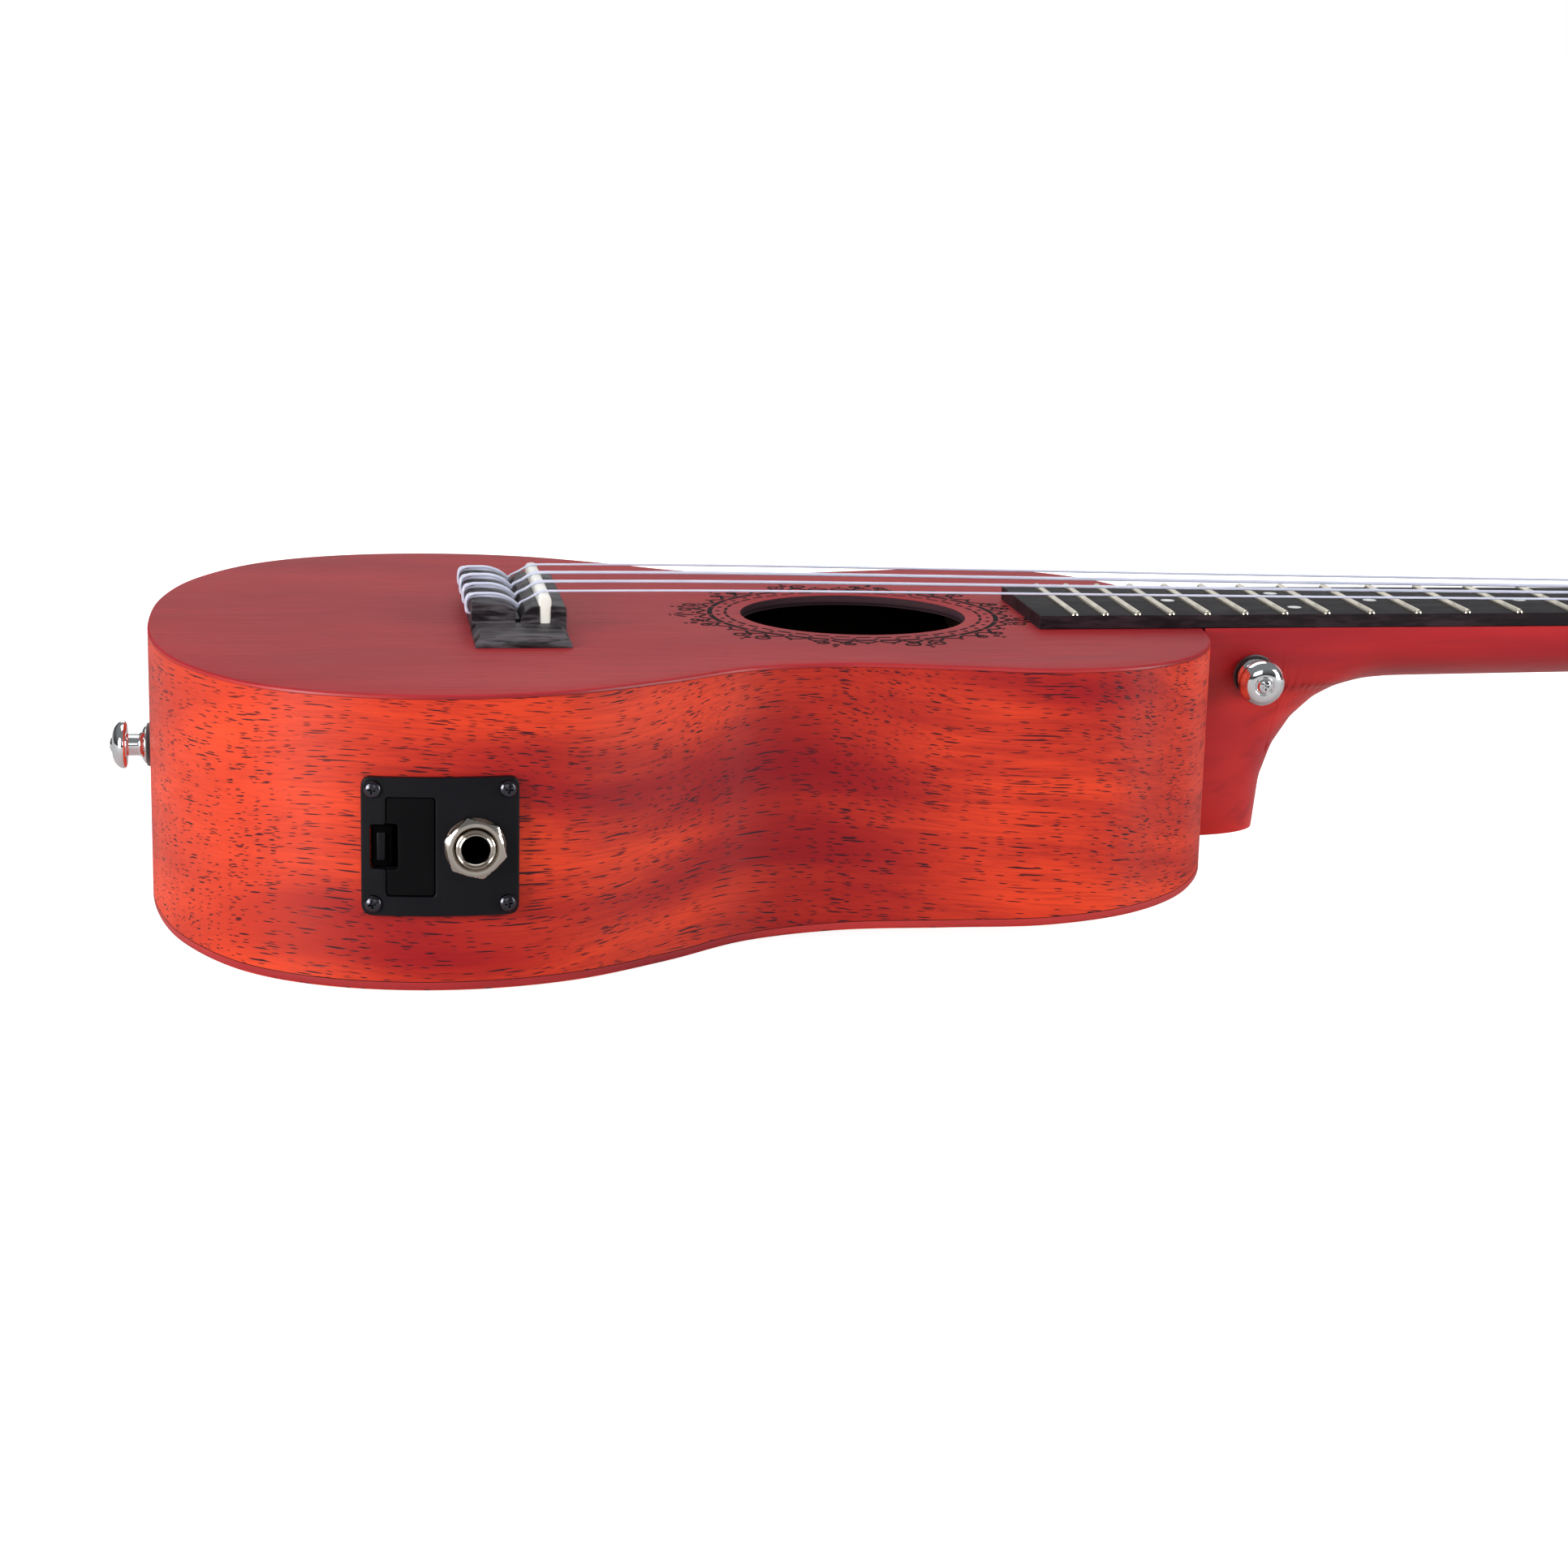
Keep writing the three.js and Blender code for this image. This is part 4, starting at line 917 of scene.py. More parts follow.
def leaf(centre, length, width, angle):
    """A pointed oval, flat on the soundboard."""
    along = Vector((math.cos(angle), math.sin(angle), 0))
    across = Vector((-along.y, along.x, 0))

    def edge(t, hand):
        bulge = hand * width * math.sin(math.pi * t / 8) * 0.5
        return centre + along * length * (t / 8 - 0.5) + across * bulge

    rim = [edge(t, 1) for t in range(9)] + [edge(t, -1) for t in range(7, 0, -1)]
    return skin([[at(p.x, p.y, z) for p in rim] for z in (INLAY_BASE, INLAY_LIFT)])


def add_leaf_mark():
    """Three small leaves on the centre line between the bridge and the sound hole."""
    centre = Vector((134, 0, 0))
    parts = [leaf(centre + Vector((1.6, 0, 0)), 5, 1.3, 0)]
    parts += [leaf(centre + Vector((-0.5, 1.9 * hand, 0)), 4, 1.1, 0.7 * hand) for hand in (-1, 1)]
    parts += [disc(centre + Vector((-3, 0.9 * hand, 0)), 0.35) for hand in (-1, 1)]
    place_piece("leaf_mark", merged(parts), "black_inlay", "instrument")


# --- Neck ----------------------------------------------------------------------------------------

def neck_half_width(x):
    return NUT_HALF + NECK_TAPER * (NUT_X - x)


def heel_half_width(x, depth):
    """The heel narrows downwards, and its level sections are half ellipses out to its front."""
    front = HEEL_PROFILE + [(400, 12), (2000, 0)]
    front_x = float(np.interp(depth, [level for _, level in front[::-1]], [spot for spot, _ in front[::-1]]))
    narrowing = max(1 - (depth / HEEL_DEPTH) ** 1.25, 0) ** 0.8
    reach = (x - BODY_LENGTH) / (front_x - BODY_LENGTH)
    return (HEEL_CAP + (neck_half_width(x) - HEEL_CAP) * narrowing) * math.sqrt(max(1 - reach ** 2, 0))


def neck_ring(x, half, depth, top=0.0, heel=0.0, fullness=2.0, edge=0.0):
    """One section of the neck, flat on top and curved at the sides, or the heel's as far as heel says."""
    steps = 22
    side = [(half - edge, top), (half - edge * 0.3, top - edge * 0.3)] if edge else []
    for i in range(steps + 1):
        down = math.sin(i / steps * math.pi / 2)
        across = half * max(1 - down ** fullness, 0) ** (1 / fullness)
        if heel:
            across += (heel_half_width(x, depth * down) - across) * heel
        side.append((across, top - edge - (depth - edge) * down))
    ring = [(0, top), *side, *[(-y, z) for y, z in reversed(side)]]
    if not edge:
        ring = [ring[0], (half, top), (half, top), *ring[1:-1], (-half, top), (-half, top), ring[-1]]
    return [at(x, y, z) for y, z in ring]


def head_half_width(along):
    """The head's outline: a short flare behind the nut, nearly straight sides, a softly arched end."""
    flare_end = 28
    arch_start = 104
    if along < flare_end:
        return NUT_HALF + (HEAD_HALF - NUT_HALF) * eased(along / flare_end)
    straight = HEAD_HALF - 3 * (along - flare_end) / 80
    if along < arch_start:
        return straight
    t = min((along - arch_start) / (HEAD_LENGTH - arch_start), 1)
    return straight * max(1 - t ** 2.6, 0) ** (1 / 2.2)


def neck_mesh():
    """Sections from inside the body over the heel and along the neck to the end of the head."""
    rings = []
    start = BODY_LENGTH - 0.6
    for share in (0, 0.15, 0.3, 0.45, 0.6, 0.7, 0.78, 0.85, 0.9, 0.94, 0.97, 0.985, 0.995):
        x = start + (BODY_LENGTH + HEEL_LENGTH - start) * share
        rings.append(neck_ring(x, neck_half_width(x), HEEL_DEPTH, heel=1.0))
    front = smooth_path([Vector((x, depth, 0)) for x, depth in HEEL_PROFILE], 0.8)
    for point in front[1:]:
        heel = 1 - eased((point.x - 292) / 26)
        rings.append(neck_ring(point.x, neck_half_width(point.x), point.y, heel=heel))
    for share in np.linspace(0, 1, 25)[1:]:
        x = HEEL_END_X + (HEAD_START - 4 - HEEL_END_X) * share
        depth = NECK_DEPTH_AT_HEEL + (NECK_DEPTH_AT_NUT - NECK_DEPTH_AT_HEEL) * share
        rings.append(neck_ring(x, neck_half_width(x), depth))
    rings.extend(head_rings())
    return mesh_of(*skin(rings))


def head_rings():
    """The neck runs on into the head: the top tilts back, and the round back turns square."""
    stations = [0, 1, 2, 3.5, *range(5, 31, 2), 33, *range(40, 101, 10)]
    stations += [104 + 24 * (1 - (1 - i / 22) ** 2) for i in range(1, 22)]
    rings = []
    for along in stations:
        blend = eased(along / 26)
        depth = NECK_DEPTH_AT_NUT + (HEAD_THICK / math.cos(HEAD_ANGLE) - NECK_DEPTH_AT_NUT) * blend
        half = head_half_width(along)
        rings.append(neck_ring(
            HEAD_START + along * math.cos(HEAD_ANGLE), half, depth, top=-along * math.sin(HEAD_ANGLE),
            fullness=2 + 9 * blend, edge=0.25 + 0.5 * blend if half > 2 else 0.25,
        ))
    return rings


def add_neck():
    place_piece("neck_carved", neck_mesh(), "stained_neck", "instrument", ["neck"], sharp=50)


def fret_x(number):
    return SADDLE_X + SCALE * 2 ** (-number / 12)


def add_fretboard():
    """A plain tapered board; the tangs of the frets are hidden inside it."""
    rings = []
    low, high = node_mm("fretboard")
    for x, inset in ((low.x, 0.15), (low.x + 0.15, 0), (high.x - 0.15, 0), (high.x, 0.15)):
        edge = neck_half_width(x) - inset
        top = high.z - inset
        section = rounded([(0, GLUE_GAP), (edge, GLUE_GAP), (edge, top), (0, top)], 0.35)
        section += [Vector((-p.x, p.y)) for p in section[-2:0:-1]]
        rings.append([at(x, p.x, p.y) for p in section])
    board = place_piece("fretboard_planed", mesh_of(*skin(rings)), "board_wood", "instrument", ["fretboard"])
    paint(board.data, ["board_edge"], lambda face: int(abs(face.normal.z) < 0.6))
    dots = [(5, 0), (7, 0), (10, 0), (12, -10.6), (12, 10.6), (15, 0)]
    for index, (number, y) in enumerate(dots):
        x = (fret_x(number) + fret_x(number - 1)) / 2
        mesh = merged([disc(Vector((x, y, 0)), 1.8, BOARD_TOP + 0.03, 48, BOARD_TOP - 0.2)])
        place_piece(f"position_dot_{index + 1}", mesh, "pearl_dot", "instrument")


def add_frets():
    """Each fret is a half-round crown with rounded ends, and a tang down into its slot."""
    ends = [(0, 0.3), (0.12, 0.65), (0.4, 0.9), (0.9, 1)]
    arch = [math.pi * k / 10 for k in range(11)]
    for number in range(1, 19):
        x = fret_x(number)
        half = neck_half_width(x) - 0.2
        stations = [(inset - half, size) for inset, size in ends]
        stations += [(half - inset, size) for inset, size in ends[::-1]]
        rings = []
        for y, size in stations:
            crown = [(x + math.cos(angle) * size, BOARD_TOP + math.sin(angle) * size) for angle in arch]
            tang = [(x + side * 0.25 * size, z) for side, z in ((-1, 3.4), (-1, 2.6), (1, 2.6), (1, 3.4))]
            rings.append([at(px, y, pz) for px, pz in crown] + [at(px, y * 0.93, pz) for px, pz in tang])
        node = f"fret_{number:02d}"
        place_piece(node + "_wire", mesh_of(*skin(rings)), "fret_wire", "instrument", [node], sharp=50)


# --- Strings -------------------------------------------------------------------------------------

def string_post(index):
    """How far along the head a string's post stands, and on which side: 1 is the bass side."""
    is_outer = index in (0, 3)
    return TUNER_ALONG[0 if is_outer else 1], 1 if index < 2 else -1


def head_point(along, across, height):
    """A point by its place on the tilted face of the head."""
    return Vector((
        HEAD_START + along * math.cos(HEAD_ANGLE) + height * math.sin(HEAD_ANGLE), across,
        -along * math.sin(HEAD_ANGLE) + height * math.cos(HEAD_ANGLE),
    ))


def string_parts(index):
    """The string from its hole in the tie block over the saddle and nut, and its tied end."""
    radius = STRINGS[index][1] / 2
    thick = max(radius, 0.36)
    y = STRING_GAP_AT_SADDLE * (1.5 - index)
    nut_y = STRING_GAP_AT_NUT * (1.5 - index)
    along, side = string_post(index)
    beside = side * (TUNER_ACROSS - 3 - radius - 0.3)
    standing = [
        (90.3, y + 0.1, 4.6), (90.5, y, 5.9), (91.4, y, 6.9), (93.5, y, 7.9),
        (SADDLE_MIDDLE - 1.2, y, 9.05 + radius), (SADDLE_MIDDLE, y, 9.4 + radius), (99.4, y, 9.38 + radius),
        (140, y * 0.977, 9.32 + radius * 0.9), (300, y + (nut_y - y) * 0.532, 7.3),
        (NUT_X - 8, nut_y + 0.05 * (1.5 - index), 5.2), (NUT_X + 1, nut_y, 5.1), (NUT_X + 5.1, nut_y, 4.8),
    ]
    for reach in (8, along - 6, along):
        standing.append(head_point(reach, nut_y + (beside - nut_y) * reach / along, 5))
    low = 7.95 + thick
    high = low + thick * 1.9
    behind = 78.9 - thick
    under = [
        (90.4, y + 0.35, 5.6), (89.4, y + 0.3, 6.9), (87.2, y + 0.25, low - 0.3),
        (83.5, y + 0.55, low + 0.05), (80.4, y + 0.5, low + 0.1), (behind + 0.2, y + 0.3, low - 0.5),
        (behind - 0.25, y + 0.1, 6.3), (behind - 0.1, y + 0.2, 4.6),
    ]
    over = [
        (90.9, y - 0.3, 6.0), (90.0, y - 0.35, 6.9), (88.2, y - 0.4, high - 0.85),
        (85.5, y - 0.45, high + 0.05), (82, y - 0.45, high + 0.2), (79.8, y - 0.4, high + 0.05),
        (behind - 0.25, y - 0.45, high - 0.8),
        (behind - 0.55, y - 0.6, 7.1), (behind - 0.5, y - 0.55, 5.9), (behind - 0.1, y - 0.3, 4.7),
    ]
    loop = [
        (79.4, y, 4.2), (behind - 0.35, y - 0.1, 4.5), (behind - 0.65, y - 0.15, 5.8),
        (behind - 0.6, y - 0.1, 7.3), (behind - 0.1, y + 0.15, low + 0.35), (80.6, y + 0.1, low + 0.75),
    ]
    stub = [(90.4, y - 0.1, 5.2), (90.75, y - 0.35, 6.0), (91.0, y - 0.45, 6.7)]
    parts = [tube(smooth_path(standing, 1.2), radius)]
    parts += [tube(smooth_path(path, 0.35), thick) for path in (under, over, loop)]
    return parts + [tube(smooth_path(stub, 0.2), thick * 1.15)]


def add_strings():
    for index, (name, _) in enumerate(STRINGS):
        node = "string_" + name
        place_piece(node + "_nylon", merged(string_parts(index)), "nylon", "instrument", [node])


# --- Tuners --------------------------------------------------------------------------------------

def add_tuner(index, name):
    """An open tuner: plate, worm with its button, gear with its post, bushing and two screws."""
    along, side = string_post(index)
    across = side * TUNER_ACROSS
    button = "button_" + name
    post = "post_" + name
    replace_refined(f"tuner_plate_{name}", 0.15, "chrome")

    shaft = lathe([
        (0, -7.4), (1.6, -7.4), (1.6, -4.6), (1.75, -4.6), (1.75, 4.6), (1.6, 4.6), (1.6, 13.5), (2.4, 14.0),
        (2.6, 17), (0, 17),
    ], at(*head_point(along - WORM_OFFSET, across, -WORM_DEPTH)), (0, side, 0), 48, 0.15)
    place_piece(f"tuner_shaft_{name}", shaft, "chrome", button, [f"tuner_button_{name}"])
    place_piece(f"tuner_worm_{name}", worm_thread(along, across, side), "chrome", button)
    place_piece(f"tuner_paddle_{name}", paddle_mesh(along, side), "black_plastic", button)

    foot = at(*head_point(along, across, 0))
    turned = lathe([
        (0, -17.9), (1.9, -17.9), (1.9, -16), (3, -16), (3, 3.6), (2.6, 4.2), (2.6, 6.2), (3, 6.9), (3, 8.3),
        (2.2, 9.2), (0, 9.2),
    ], foot, HEAD_NORMAL, 48, 0.3)
    place_piece(f"tuner_post_{name}_turned", turned, "chrome", post, [f"tuner_post_{name}"])
    place_piece(f"tuner_gear_{name}", gear_mesh(along, across), "nickel", post)
    turns = string_turns(along, across, side, STRINGS[index][1] / 2)
    place_piece(f"string_turns_{name}", turns, "nylon", post)
    section = [(3.3, -0.5), (4.9, -0.5), (4.9, 0.5), (4.2, 1.3), (3.3, 1.3), (3.3, -0.5)]
    place_piece(f"post_bushing_{name}", lathe(section, foot, HEAD_NORMAL, 48, 0.2), "chrome", "instrument")
    for letter, step in (("a", -12.3), ("b", 7.7)):
        spot = at(*head_point(along + step, across, -14.1))
        add_screw(f"tuner_screw_{name}_{letter}", spot, -HEAD_NORMAL, 1.5, "nickel")


def string_turns(along, across, side, radius):
    """The string's end, wound down its post two and a half times."""
    reach = 2.75 + radius
    path = []
    for share in np.linspace(0, 1, 100):
        angle = side * math.pi * (5.2 * share - 0.5)
        spot = head_point(along, across, 6.1 - radius - 4.4 * radius * share)
        path.append(spot + HEAD_ALONG * math.cos(angle) * reach + Vector((0, math.sin(angle) * reach, 0)))
    return mesh_of(*tube(path, radius * 0.96))


def worm_thread(along, across, side):
    """The worm's helical ridge."""
    centre = head_point(along - WORM_OFFSET, across, -WORM_DEPTH)
    path = []
    for share in np.linspace(0, 1, 121):
        angle = 2 * math.pi * 3.6 * share
        offset = (HEAD_ALONG * math.cos(angle) + HEAD_NORMAL * math.sin(angle)) * 1.75
        path.append(centre + offset + Vector((0, side * (share - 0.5) * 8.2, 0)))
    return mesh_of(*tube(path, 0.42, 8))


def paddle_mesh(along, side):
    """The finger button: a flattened oval, a little fuller than an ellipsoid."""
    half_thick, half_long, half_high = 3.3, 6.5, 7.2
    centre = head_point(along - WORM_OFFSET, side * (TUNER_ACROSS + 22.4), -WORM_DEPTH)
    rings = []
    for i in range(33):
        height = -math.cos(math.pi * i / 32)
        reach = max(1 - abs(height) ** 2.6, 0) ** (1 / 2.6)
        ring = []
        for c, s in circle(40):
            thick = math.copysign(abs(c) ** 0.8, c) * reach * half_thick
            high = math.copysign(abs(s) ** 0.8, s) * reach * half_high
            out = Vector((0, side * height * half_long, 0))
            ring.append(at(*(centre + HEAD_ALONG * thick + HEAD_NORMAL * high + out)))
        rings.append(ring)
    return mesh_of(*skin(rings))


def gear_mesh(along, across):
    """A gear with slightly rounded teeth."""
    outline = []
    for i in range(GEAR_TEETH):
        for offset, reach in ((-0.3, 4), (-0.2, 4.6), (-0.13, 5), (0.13, 5), (0.2, 4.6), (0.3, 4)):
            angle = 2 * math.pi * (i + offset) / GEAR_TEETH
            outline.append((reach * math.cos(angle), reach * math.sin(angle)))
    rings = []
    for height, shrink in ((-18.3, 0.94), (-18.0, 1), (-15.6, 1), (-15.3, 0.94)):
        ring = []
        for u, v in outline:
            ring.append(at(*(head_point(along, across + v * shrink, height) + HEAD_ALONG * u * shrink)))
        rings.append(ring)
    return mesh_of(*skin(rings))


# --- Screws, strap buttons, preamp ---------------------------------------------------------------

def cross_head_mesh():
    """A domed screw head of radius 1 mm with a cross recess, standing on the origin along +z."""
    section = [(0, -0.6), (0.9, -0.6), (1, 0), (0.93, 0.22), (0.7, 0.42), (0.35, 0.53), (0, 0.56)]
    dome = lathe(section, (0, 0, 0), (0, 0, 1), 48, 0.06)
    bm = bmesh.new()
    for turn in (0, math.pi / 2):
        box = bmesh.ops.create_cube(bm, size=1)["verts"]
        for vertex in box:
            taper = 1 if vertex.co.z > 0 else 0.55
            x, y, z = vertex.co
            vertex.co = Vector((x * 1.15 * taper, y * 0.27 * taper, z * 0.8 + 0.5)) * MM
        bmesh.ops.rotate(bm, verts=box, matrix=Matrix.Rotation(turn, 3, "Z"))
    head = bpy.data.objects.new("screw_blank", dome)
    cutter = bpy.data.objects.new("cutter", closed(bm))
    for item in (head, cutter):
        bpy.context.scene.collection.objects.link(item)
    modifier = head.modifiers.new("cross", "BOOLEAN")
    modifier.operation = "DIFFERENCE"
    modifier.solver = "EXACT"
    modifier.use_self = True
    modifier.object = cutter
    bpy.context.view_layer.update()
    depsgraph = bpy.context.evaluated_depsgraph_get()
    finished = bpy.data.meshes.new_from_object(head.evaluated_get(depsgraph))
    for item in (head, cutter):
        bpy.data.objects.remove(item)
    return finished


SCREW_HEAD = cross_head_mesh()


def add_screw(name, centre, direction, radius, material, turn=0.4):
    mesh = SCREW_HEAD.copy()
    rotation = Vector((0, 0, 1)).rotation_difference(Vector(direction)).to_matrix().to_4x4()
    seated = Matrix.Translation(centre) @ rotation
    mesh.transform(seated @ Matrix.Rotation(turn, 4, "Z") @ Matrix.Scale(radius, 4))
    place_piece(name, mesh, material, "instrument", sharp=30)


def add_strap_button(name, origin, direction):
    """A felt washer sunk to meet a curved surface, a chrome button with a coned foot, and its screw."""
    node = "strap_button_" + name
    direction = Vector(direction)
    felt = lathe([(0, -1.2), (5.5, -1.2), (5.5, 0.95), (5.2, 1.2), (0, 1.2)], origin, direction, 64, 0.2)
    place_piece("felt_washer_" + name, felt, "black_felt", "instrument")
    button = lathe([
        (0, 1.15), (4.8, 1.15), (4.8, 1.5), (4.2, 2.0), (3.1, 2.5), (2.8, 3.1), (2.8, 6.0), (5.3, 6.0),
        (6.0, 6.5), (6.05, 7.2), (5.6, 8.2), (4.6, 9.1), (3.4, 9.6), (2.5, 9.75), (2.3, 9.3), (0, 9.3),
    ], origin, direction, 72, 0.45)
    place_piece(node + "_turned", button, "chrome", "instrument", [node])
    seat = Vector(origin) + direction * 9.25 * MM
    add_screw("strap_screw_" + name, seat, direction, 2.15, "chrome", 0.2)


def add_strap_buttons():
    add_strap_button("tail", at(0, 0, -32.9), (-1, 0, 0))
    tilt = math.radians(6)
    add_strap_button("heel", at(280.5, -20.75, -12.5), (0, -math.cos(tilt), -math.sin(tilt)))


def skin_y(x, outset):
    """Where a surface lies across the body that stands off its treble side by outset mm."""
    spots = [point + outward * outset for point, outward, _ in HALF]
    return -float(np.interp(x, [spot.x for spot in spots], [spot.y for spot in spots]))


def skin_normal(x):
    return Vector((skin_y(x + 1, 0) - skin_y(x - 1, 0), -2, 0)).normalized()


def closed_loop(corners, radius, is_hole=False):
    """A closed (x, z) loop with rounded corners, turning the other way for a hole."""
    start = (Vector(corners[0]) + Vector(corners[-1])) / 2
    points = rounded([start, *corners, start], radius, 5)[:-1]
    area = sum(a.x * b.y - b.x * a.y for a, b in zip(points, points[1:] + points[:1]))
    return points[::-1] if (area > 0) == is_hole else points


def curved_plate(loops, low, high, bevel):
    """A plate cut to loops, the first its outline and the rest holes, bent to follow the body's side."""
    curve = bpy.data.curves.new("plate", "CURVE")
    curve.dimensions = "2D"
    curve.fill_mode = "BOTH"
    curve.extrude = (high - low) / 2 - bevel
    curve.bevel_depth = bevel
    curve.bevel_resolution = 2
    curve.offset = -bevel
    for loop in loops:
        spline = curve.splines.new("POLY")
        spline.points.add(len(loop) - 1)
        spline.use_cyclic_u = True
        for spot, point in zip(spline.points, loop):
            spot.co = (point.x, point.y, 0, 1)
    holder = bpy.data.objects.new("plate", curve)
    bpy.context.scene.collection.objects.link(holder)
    flat = bpy.data.meshes.new_from_object(holder.evaluated_get(bpy.context.evaluated_depsgraph_get()))
    bpy.data.objects.remove(holder)
    bm = opened(flat)
    bmesh.ops.remove_doubles(bm, verts=bm.verts, dist=1e-4)
    for step in range(-12, 13):
        cut(bm, (PREAMP_X + step * 1.45, 0, 0), (1, 0, 0))
    for vertex in bm.verts:
        x, z, height = vertex.co
        vertex.co = at(x, skin_y(x, (low + high) / 2 + height), z)
    bmesh.ops.recalc_face_normals(bm, faces=bm.faces)
    return closed(bm)


def cut(bm, place, normal, clear_outer=False):
    """Cuts every face along a plane, and drops what lies beyond it if clear_outer is set."""
    everything = [*bm.verts, *bm.edges, *bm.faces]
    return bmesh.ops.bisect_plane(
        bm, geom=everything, plane_co=place, plane_no=normal, clear_outer=clear_outer,
    )["geom_cut"]


def mirrored(half):
    """A closed loop from its upper half: (x, height above the preamp's middle) pairs."""
    upper = [(x, PREAMP_Z + up) for x, up in half]
    lower = [(x, PREAMP_Z - up) for x, up in half]
    return [lower[0], *upper, *lower[:0:-1]]


def add_preamp():
    """The plate with its four screws, the battery tray behind its door, the latch and the jack."""
    right, left = PREAMP_X + 17.65, PREAMP_X - 17.65
    low, high = PREAMP_Z - 16, PREAMP_Z + 16
    outline = closed_loop([(left, low), (right, low), (right, high), (left, high)], 2.6)
    opening = mirrored([(67.25, 11.45), (56.15, 11.45), (56.15, 5.1), (52.7, 5.1)])
    hole = [Vector((JACK_X + 4.8 * c, PREAMP_Z - 4.8 * s)) for c, s in circle(48)]
    plate = curved_plate([outline, closed_loop(opening, 0.9, is_hole=True), hole], GLUE_GAP, 1.8, 0.25)
    place_piece("preamp_plate_moulded", plate, "black_plastic", "instrument", ["preamp_plate"], sharp=50)

    shape = mirrored([(67.05, 11.25), (56.35, 11.25), (56.35, 5.25), (58.9, 5.25)])
    door = curved_plate([closed_loop(shape, 0.8)], -0.6, 1.35, 0.15)
    place_piece("battery_door", door, "door_plastic", "tray", sharp=50)
    place_piece("battery_frame", tray_frame(), "black_plastic", "tray", ["battery_tray"], sharp=40)
    add_latch()
    replace_refined("coin_cell", 0.25, "piezo_metal", "tray")
    for side, across in (("left", -15.1), ("right", 15.1)):
        for level, up in (("low", -13.2), ("high", 13.2)):
            x = PREAMP_X + across
            spot = at(x, skin_y(x, 1.95), PREAMP_Z + up)
            name = f"plate_screw_{side}_{level}"
            add_screw(name, spot, skin_normal(x), 2.05, "black_steel", across + up)
    add_jack()


def add_latch():
    """The sprung tongue deep in its recess, with a rounded rib for the thumb."""
    low, high = node_mm("battery_latch")
    tongue = rounded_slab((low.x, high.x), (low.y + 0.8, high.y), (low.z, high.z), 0.2)
    place_piece("latch_tongue", tongue, "shaded_plastic", "latch", ["battery_latch"], sharp=50)
    rib = rounded_slab((54.2, 56.1), (low.y - 0.1, low.y + 0.9), (PREAMP_Z - 3.3, PREAMP_Z + 3.3), 0.45)
    place_piece("latch_rib", rib, "black_plastic", "latch", sharp=60)


def rounded_slab(along, across, up, bevel):
    """A box between the given limits, with every edge rounded off."""
    bm = bmesh.new()
    bmesh.ops.create_cube(bm, size=1)
    for vertex in bm.verts:
        spot = [edges[0] if value < 0 else edges[1] for value, edges in zip(vertex.co, (along, across, up))]
        vertex.co = at(*spot)
    bmesh.ops.bevel(bm, geom=list(bm.edges), offset=bevel * MM, segments=3, profile=0.5, affect="EDGES")
    return closed(bm)


def tray_frame():
    """The battery tray, cut off where its door begins."""
    bm = opened(refined("battery_tray", 0.2, angle=40))
    new_items = cut(bm, at(0, -99.7, 0), (0, -1, 0), clear_outer=True)
    bmesh.ops.holes_fill(bm, edges=[item for item in new_items if isinstance(item, bmesh.types.BMEdge)])
    return closed(bm)


def hex_nut_mesh(centre):
    """A chamfered hexagon nut, half an inch across its flats, facing out of the side."""
    half_flats = 6.35
    sixth = math.pi / 3
    tilt = math.radians(14)
    profile = [(0, 7.1), (0.2, 9), (1.1, 9), (1.2, 7.33), (1.4, 6.98), (1.6, 6.64), (1.75, 6.38), (1.9, 6.12)]
    profile += [(2.0, 5.95), (2.0, 5.2), (1.4, 4.65), (0, 4.65)]
    rings = []
    for height, limit in profile:
        ring = []
        for c, s in circle(96):
            from_flat = (math.atan2(s, c) - tilt + sixth / 2) % sixth - sixth / 2
            reach = min(half_flats / math.cos(from_flat), limit)
            ring.append(centre + Vector((c * reach, -height, s * reach)) * MM)
        rings.append(ring)
    return mesh_of(*skin(rings, is_hoop=True))


def add_jack():
    """The hex nut, a thin washer on its face, the threaded sleeve and the housing inside the body."""
    back = node_mm("jack_nut")[1].y
    seat = at(JACK_X, back, PREAMP_Z)
    out = (0, -1, 0)
    place_piece("jack_nut_chamfered", hex_nut_mesh(seat), "nickel", "instrument", ["jack_nut"], sharp=28)
    ring = [(4.8, 0), (6.9, 0), (6.9, 0.4), (4.8, 0.4), (4.8, 0)]
    washer = lathe(ring, at(JACK_X, back + 0.4, PREAMP_Z), out, 64, 0.12)
    place_piece("jack_washer", washer, "tarnished", "instrument")
    sleeve = [(3.15, -6), (4.5, -6)]
    sleeve += [(4.5 - 0.2 * (i % 2), -5.9 + 0.3 * i) for i in range(25)]
    sleeve += [(4.5, 1.9), (4.4, 2.25), (4.15, 2.4), (3.97, 2.25), (3.92, 1.6), (3.78, 1.6), (3.72, 2.25)]
    sleeve += [(3.5, 2.4), (3.3, 2.35), (3.12, 2.0), (3.12, 0.6), (3.15, -6)]
    place_piece("jack_bushing", lathe(sleeve, seat, out, 72), "nickel", "instrument", ["jack_socket"])
    housing = [(4.6, 4.7), (5, 5.1), (5, 25.8), (4.6, 26.2), (0, 26.2), (0, 24.6), (3.15, 24.6)]
    housing += [(3.15, 4.7), (4.6, 4.7)]
    place_piece("jack_housing", lathe(housing, seat, (0, 1, 0), 48), "black_plastic", "instrument")


# --- Bridge --------------------------------------------------------------------------------------

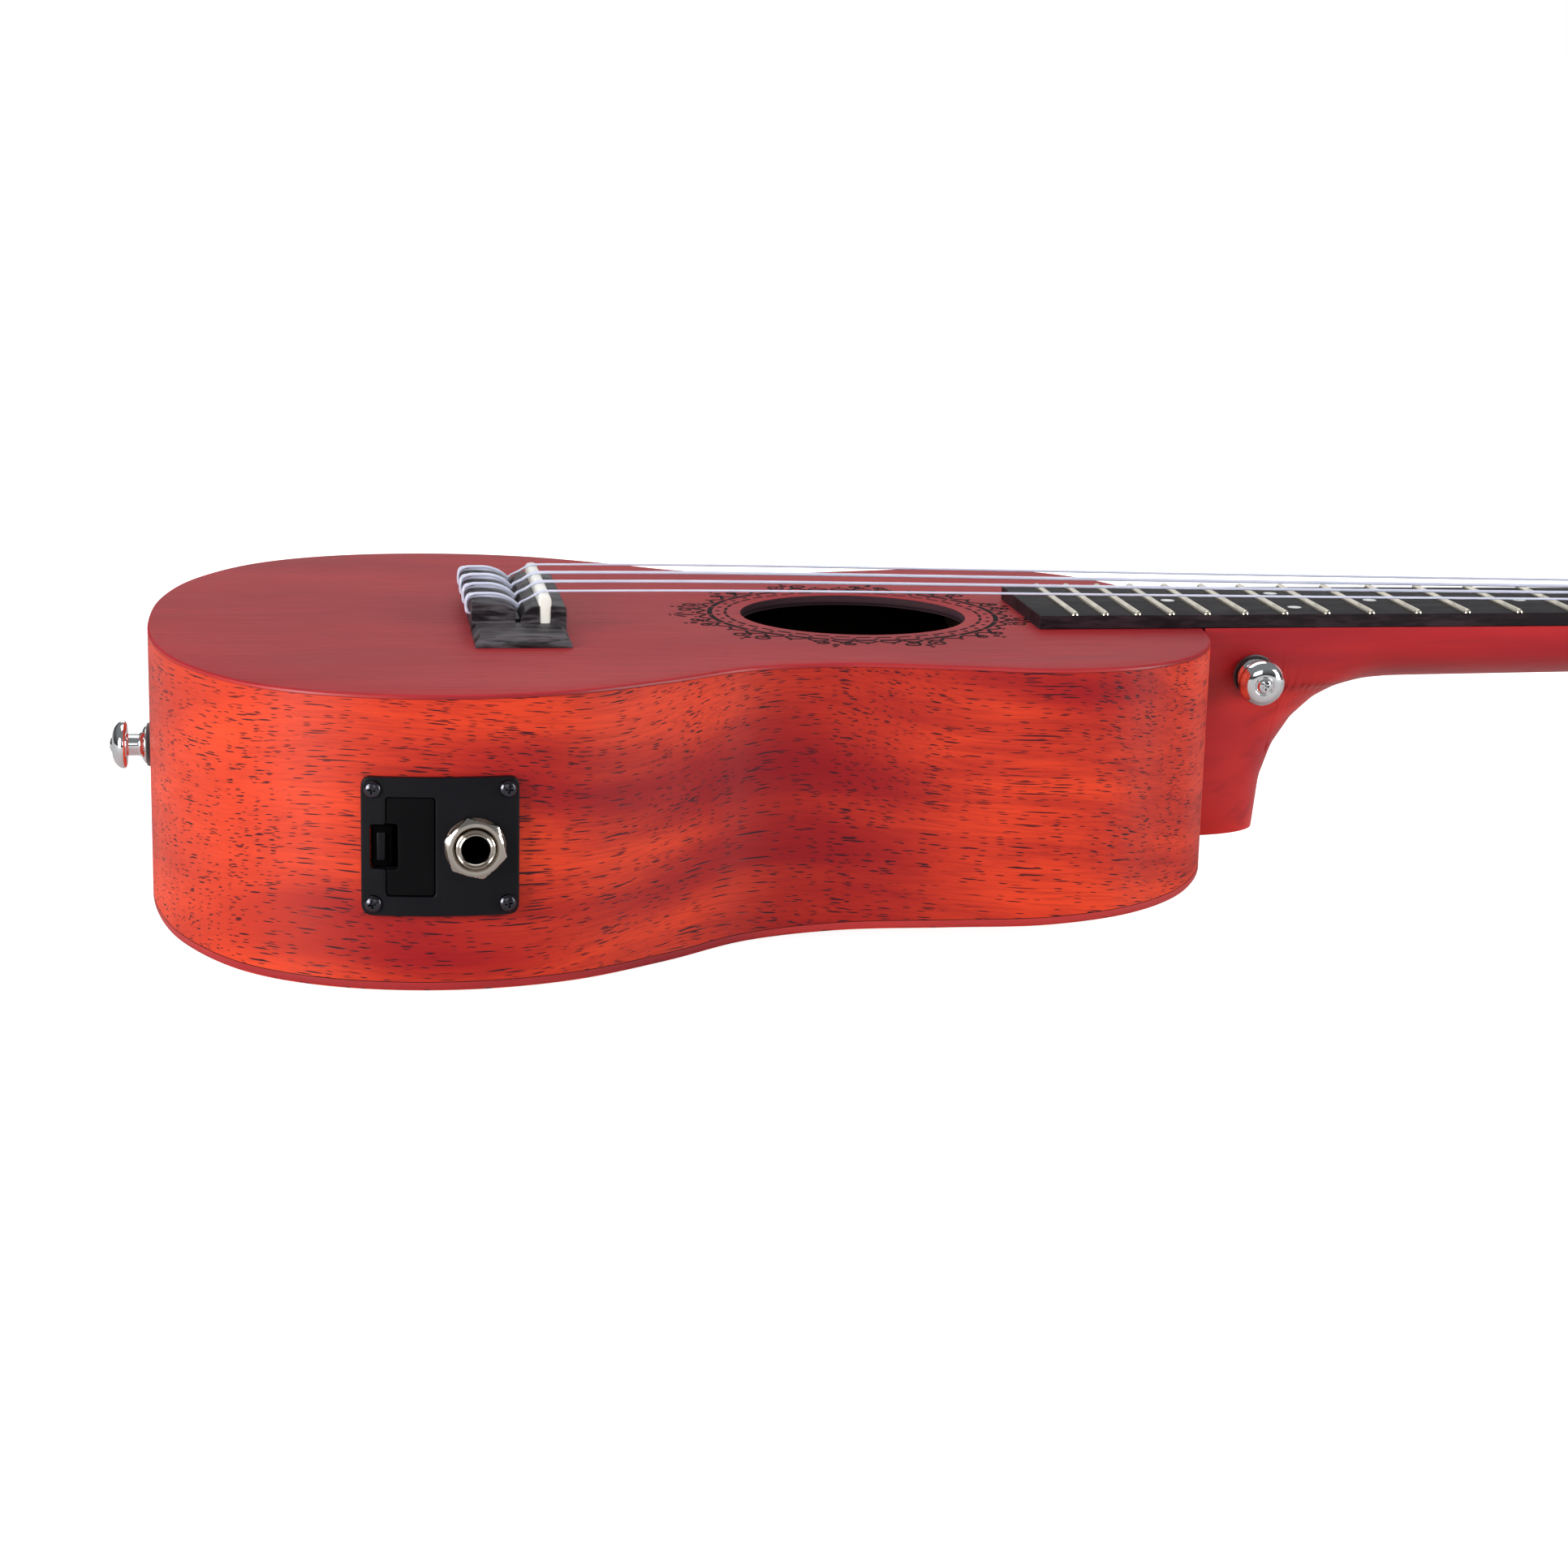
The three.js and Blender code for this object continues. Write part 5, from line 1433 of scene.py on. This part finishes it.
def prism(profile, half, bevel):
    """A solid across the body: a closed (x, z) profile from -half to half, with bevelled ends."""
    middle = sum((Vector(p) for p in profile), Vector((0, 0))) / len(profile)
    rings = []
    for y, inset in ((-half, bevel), (bevel - half, 0), (half - bevel, 0), (half, bevel)):
        ring = []
        for x, z in profile:
            reach = Vector((x, z)) - middle
            spot = middle + reach * (1 - inset / max(reach.length, inset))
            ring.append(at(spot.x, y, spot.y))
        rings.append(ring)
    return skin(rings)


def bridge_parts():
    """The tie block, the ramp and front of the saddle's half, and two low wings with sloping ends."""
    tie = rounded([
        (84, GLUE_GAP), (79.05, GLUE_GAP), (79.05, 7.9), (83.5, 7.95), (87, 7.3), (89.8, 5.9),
        (89.8, GLUE_GAP), (84, GLUE_GAP),
    ], 0.3)
    ramp = rounded([
        (93, GLUE_GAP), (91, GLUE_GAP), (91, 3.4), (92.3, 5.6), (94, 6.7), (SADDLE_MIDDLE - 1.5, 7),
        (SADDLE_MIDDLE - 1.35, 1.2), (SADDLE_MIDDLE + 1.35, 1.2), (SADDLE_MIDDLE + 1.5, 7),
        (101.9, 6.75), (BRIDGE_FRONT, 6.2), (BRIDGE_FRONT, GLUE_GAP), (93, GLUE_GAP),
    ], 0.25)
    web = [(89.7, GLUE_GAP), (91.1, GLUE_GAP), (91.1, 3.2), (89.7, 3.2)]
    parts = [prism([(p.x, p.y) for p in shape[:-1]], BLOCK_HALF, 0.12) for shape in (tie, ramp)]
    parts.append(prism(web, BLOCK_HALF - 3, 0.05))
    return parts + [wing(side) for side in (-1, 1)]


def wing(side):
    """A low wing whose three free edges slope."""
    rings = []
    stations = [
        (BLOCK_HALF - 3, WING_TOP, 1.4), (WING_HALF - 2.3, WING_TOP, 1.4),
        (WING_HALF - 2.1, WING_TOP - 0.05, 1.3), (WING_HALF - 0.25, 0.9, 0.3), (WING_HALF, 0.7, 0.1),
    ]
    for across, top, slope in stations:
        edge = 0.75 * min(top, 1)
        profile = rounded([
            (90, GLUE_GAP), (BRIDGE_BACK, GLUE_GAP), (BRIDGE_BACK, edge), (BRIDGE_BACK + slope, top),
            (BRIDGE_FRONT - slope, top), (BRIDGE_FRONT, edge), (BRIDGE_FRONT, GLUE_GAP), (90, GLUE_GAP),
        ], 0.2)
        rings.append([at(p.x, side * across, p.y) for p in profile[:-1]])
    return skin(rings)


def add_bridge():
    place_piece("bridge_carved", merged(bridge_parts()), "bridge_wood", "instrument", ["bridge"], sharp=25)
    place_piece("saddle_shaped", saddle_mesh(), "bone", "instrument", ["saddle"], sharp=50)
    replace_refined("nut", 0.2, "bone")


def saddle_mesh():
    """A strip of bone with a rounded, slightly slanting crest and rounded ends."""
    x = SADDLE_MIDDLE
    foot = 1.3
    middle = 5.2
    outline = rounded([
        (x, foot), (x - 1.4, foot), (x - 1.55, 7), (x - 1.55, 8.5), (x - 0.95, 9.25), (x + 0.4, 9.4),
        (x + 1.25, 9.1), (x + 1.55, 8.3), (x + 1.55, 7), (x + 1.4, foot), (x, foot),
    ], 0.5)
    ends = [(26.3, 0.82), (26.25, 0.92), (26.1, 0.98), (25.8, 1)]
    rings = []
    for y, size in [(-y, size) for y, size in ends] + ends[::-1]:
        rings.append([
            at(x + (p.x - x) * size, y, max(middle + (p.y - middle) * (0.6 + 0.4 * size), foot))
            for p in outline[:-1]
        ])
    return mesh_of(*skin(rings))


# --- Assembly ------------------------------------------------------------------------------------

def finish_inside():
    """The hidden CAD parts keep their shapes and get their materials."""
    for node in ("tail_block", "neck_block", "lining_top", "lining_back"):
        keep(node, "bare_wood")
    for node in ("brace_upper", "brace_lower", "bridge_plate"):
        keep(node, "bare_wood")
    keep("piezo_strip", "piezo_metal")
    keep("preamp_case", "black_plastic")


add_camera()
add_world()
add_lights()
add_floor()
add_soundboard()
add_sides()
add_back()
add_rosette()
add_leaf_mark()
add_neck()
add_fretboard()
add_frets()
add_bridge()
add_strings()
for string_index, (string_name, _) in enumerate(STRINGS):
    add_tuner(string_index, string_name)
add_strap_buttons()
add_preamp()
finish_inside()
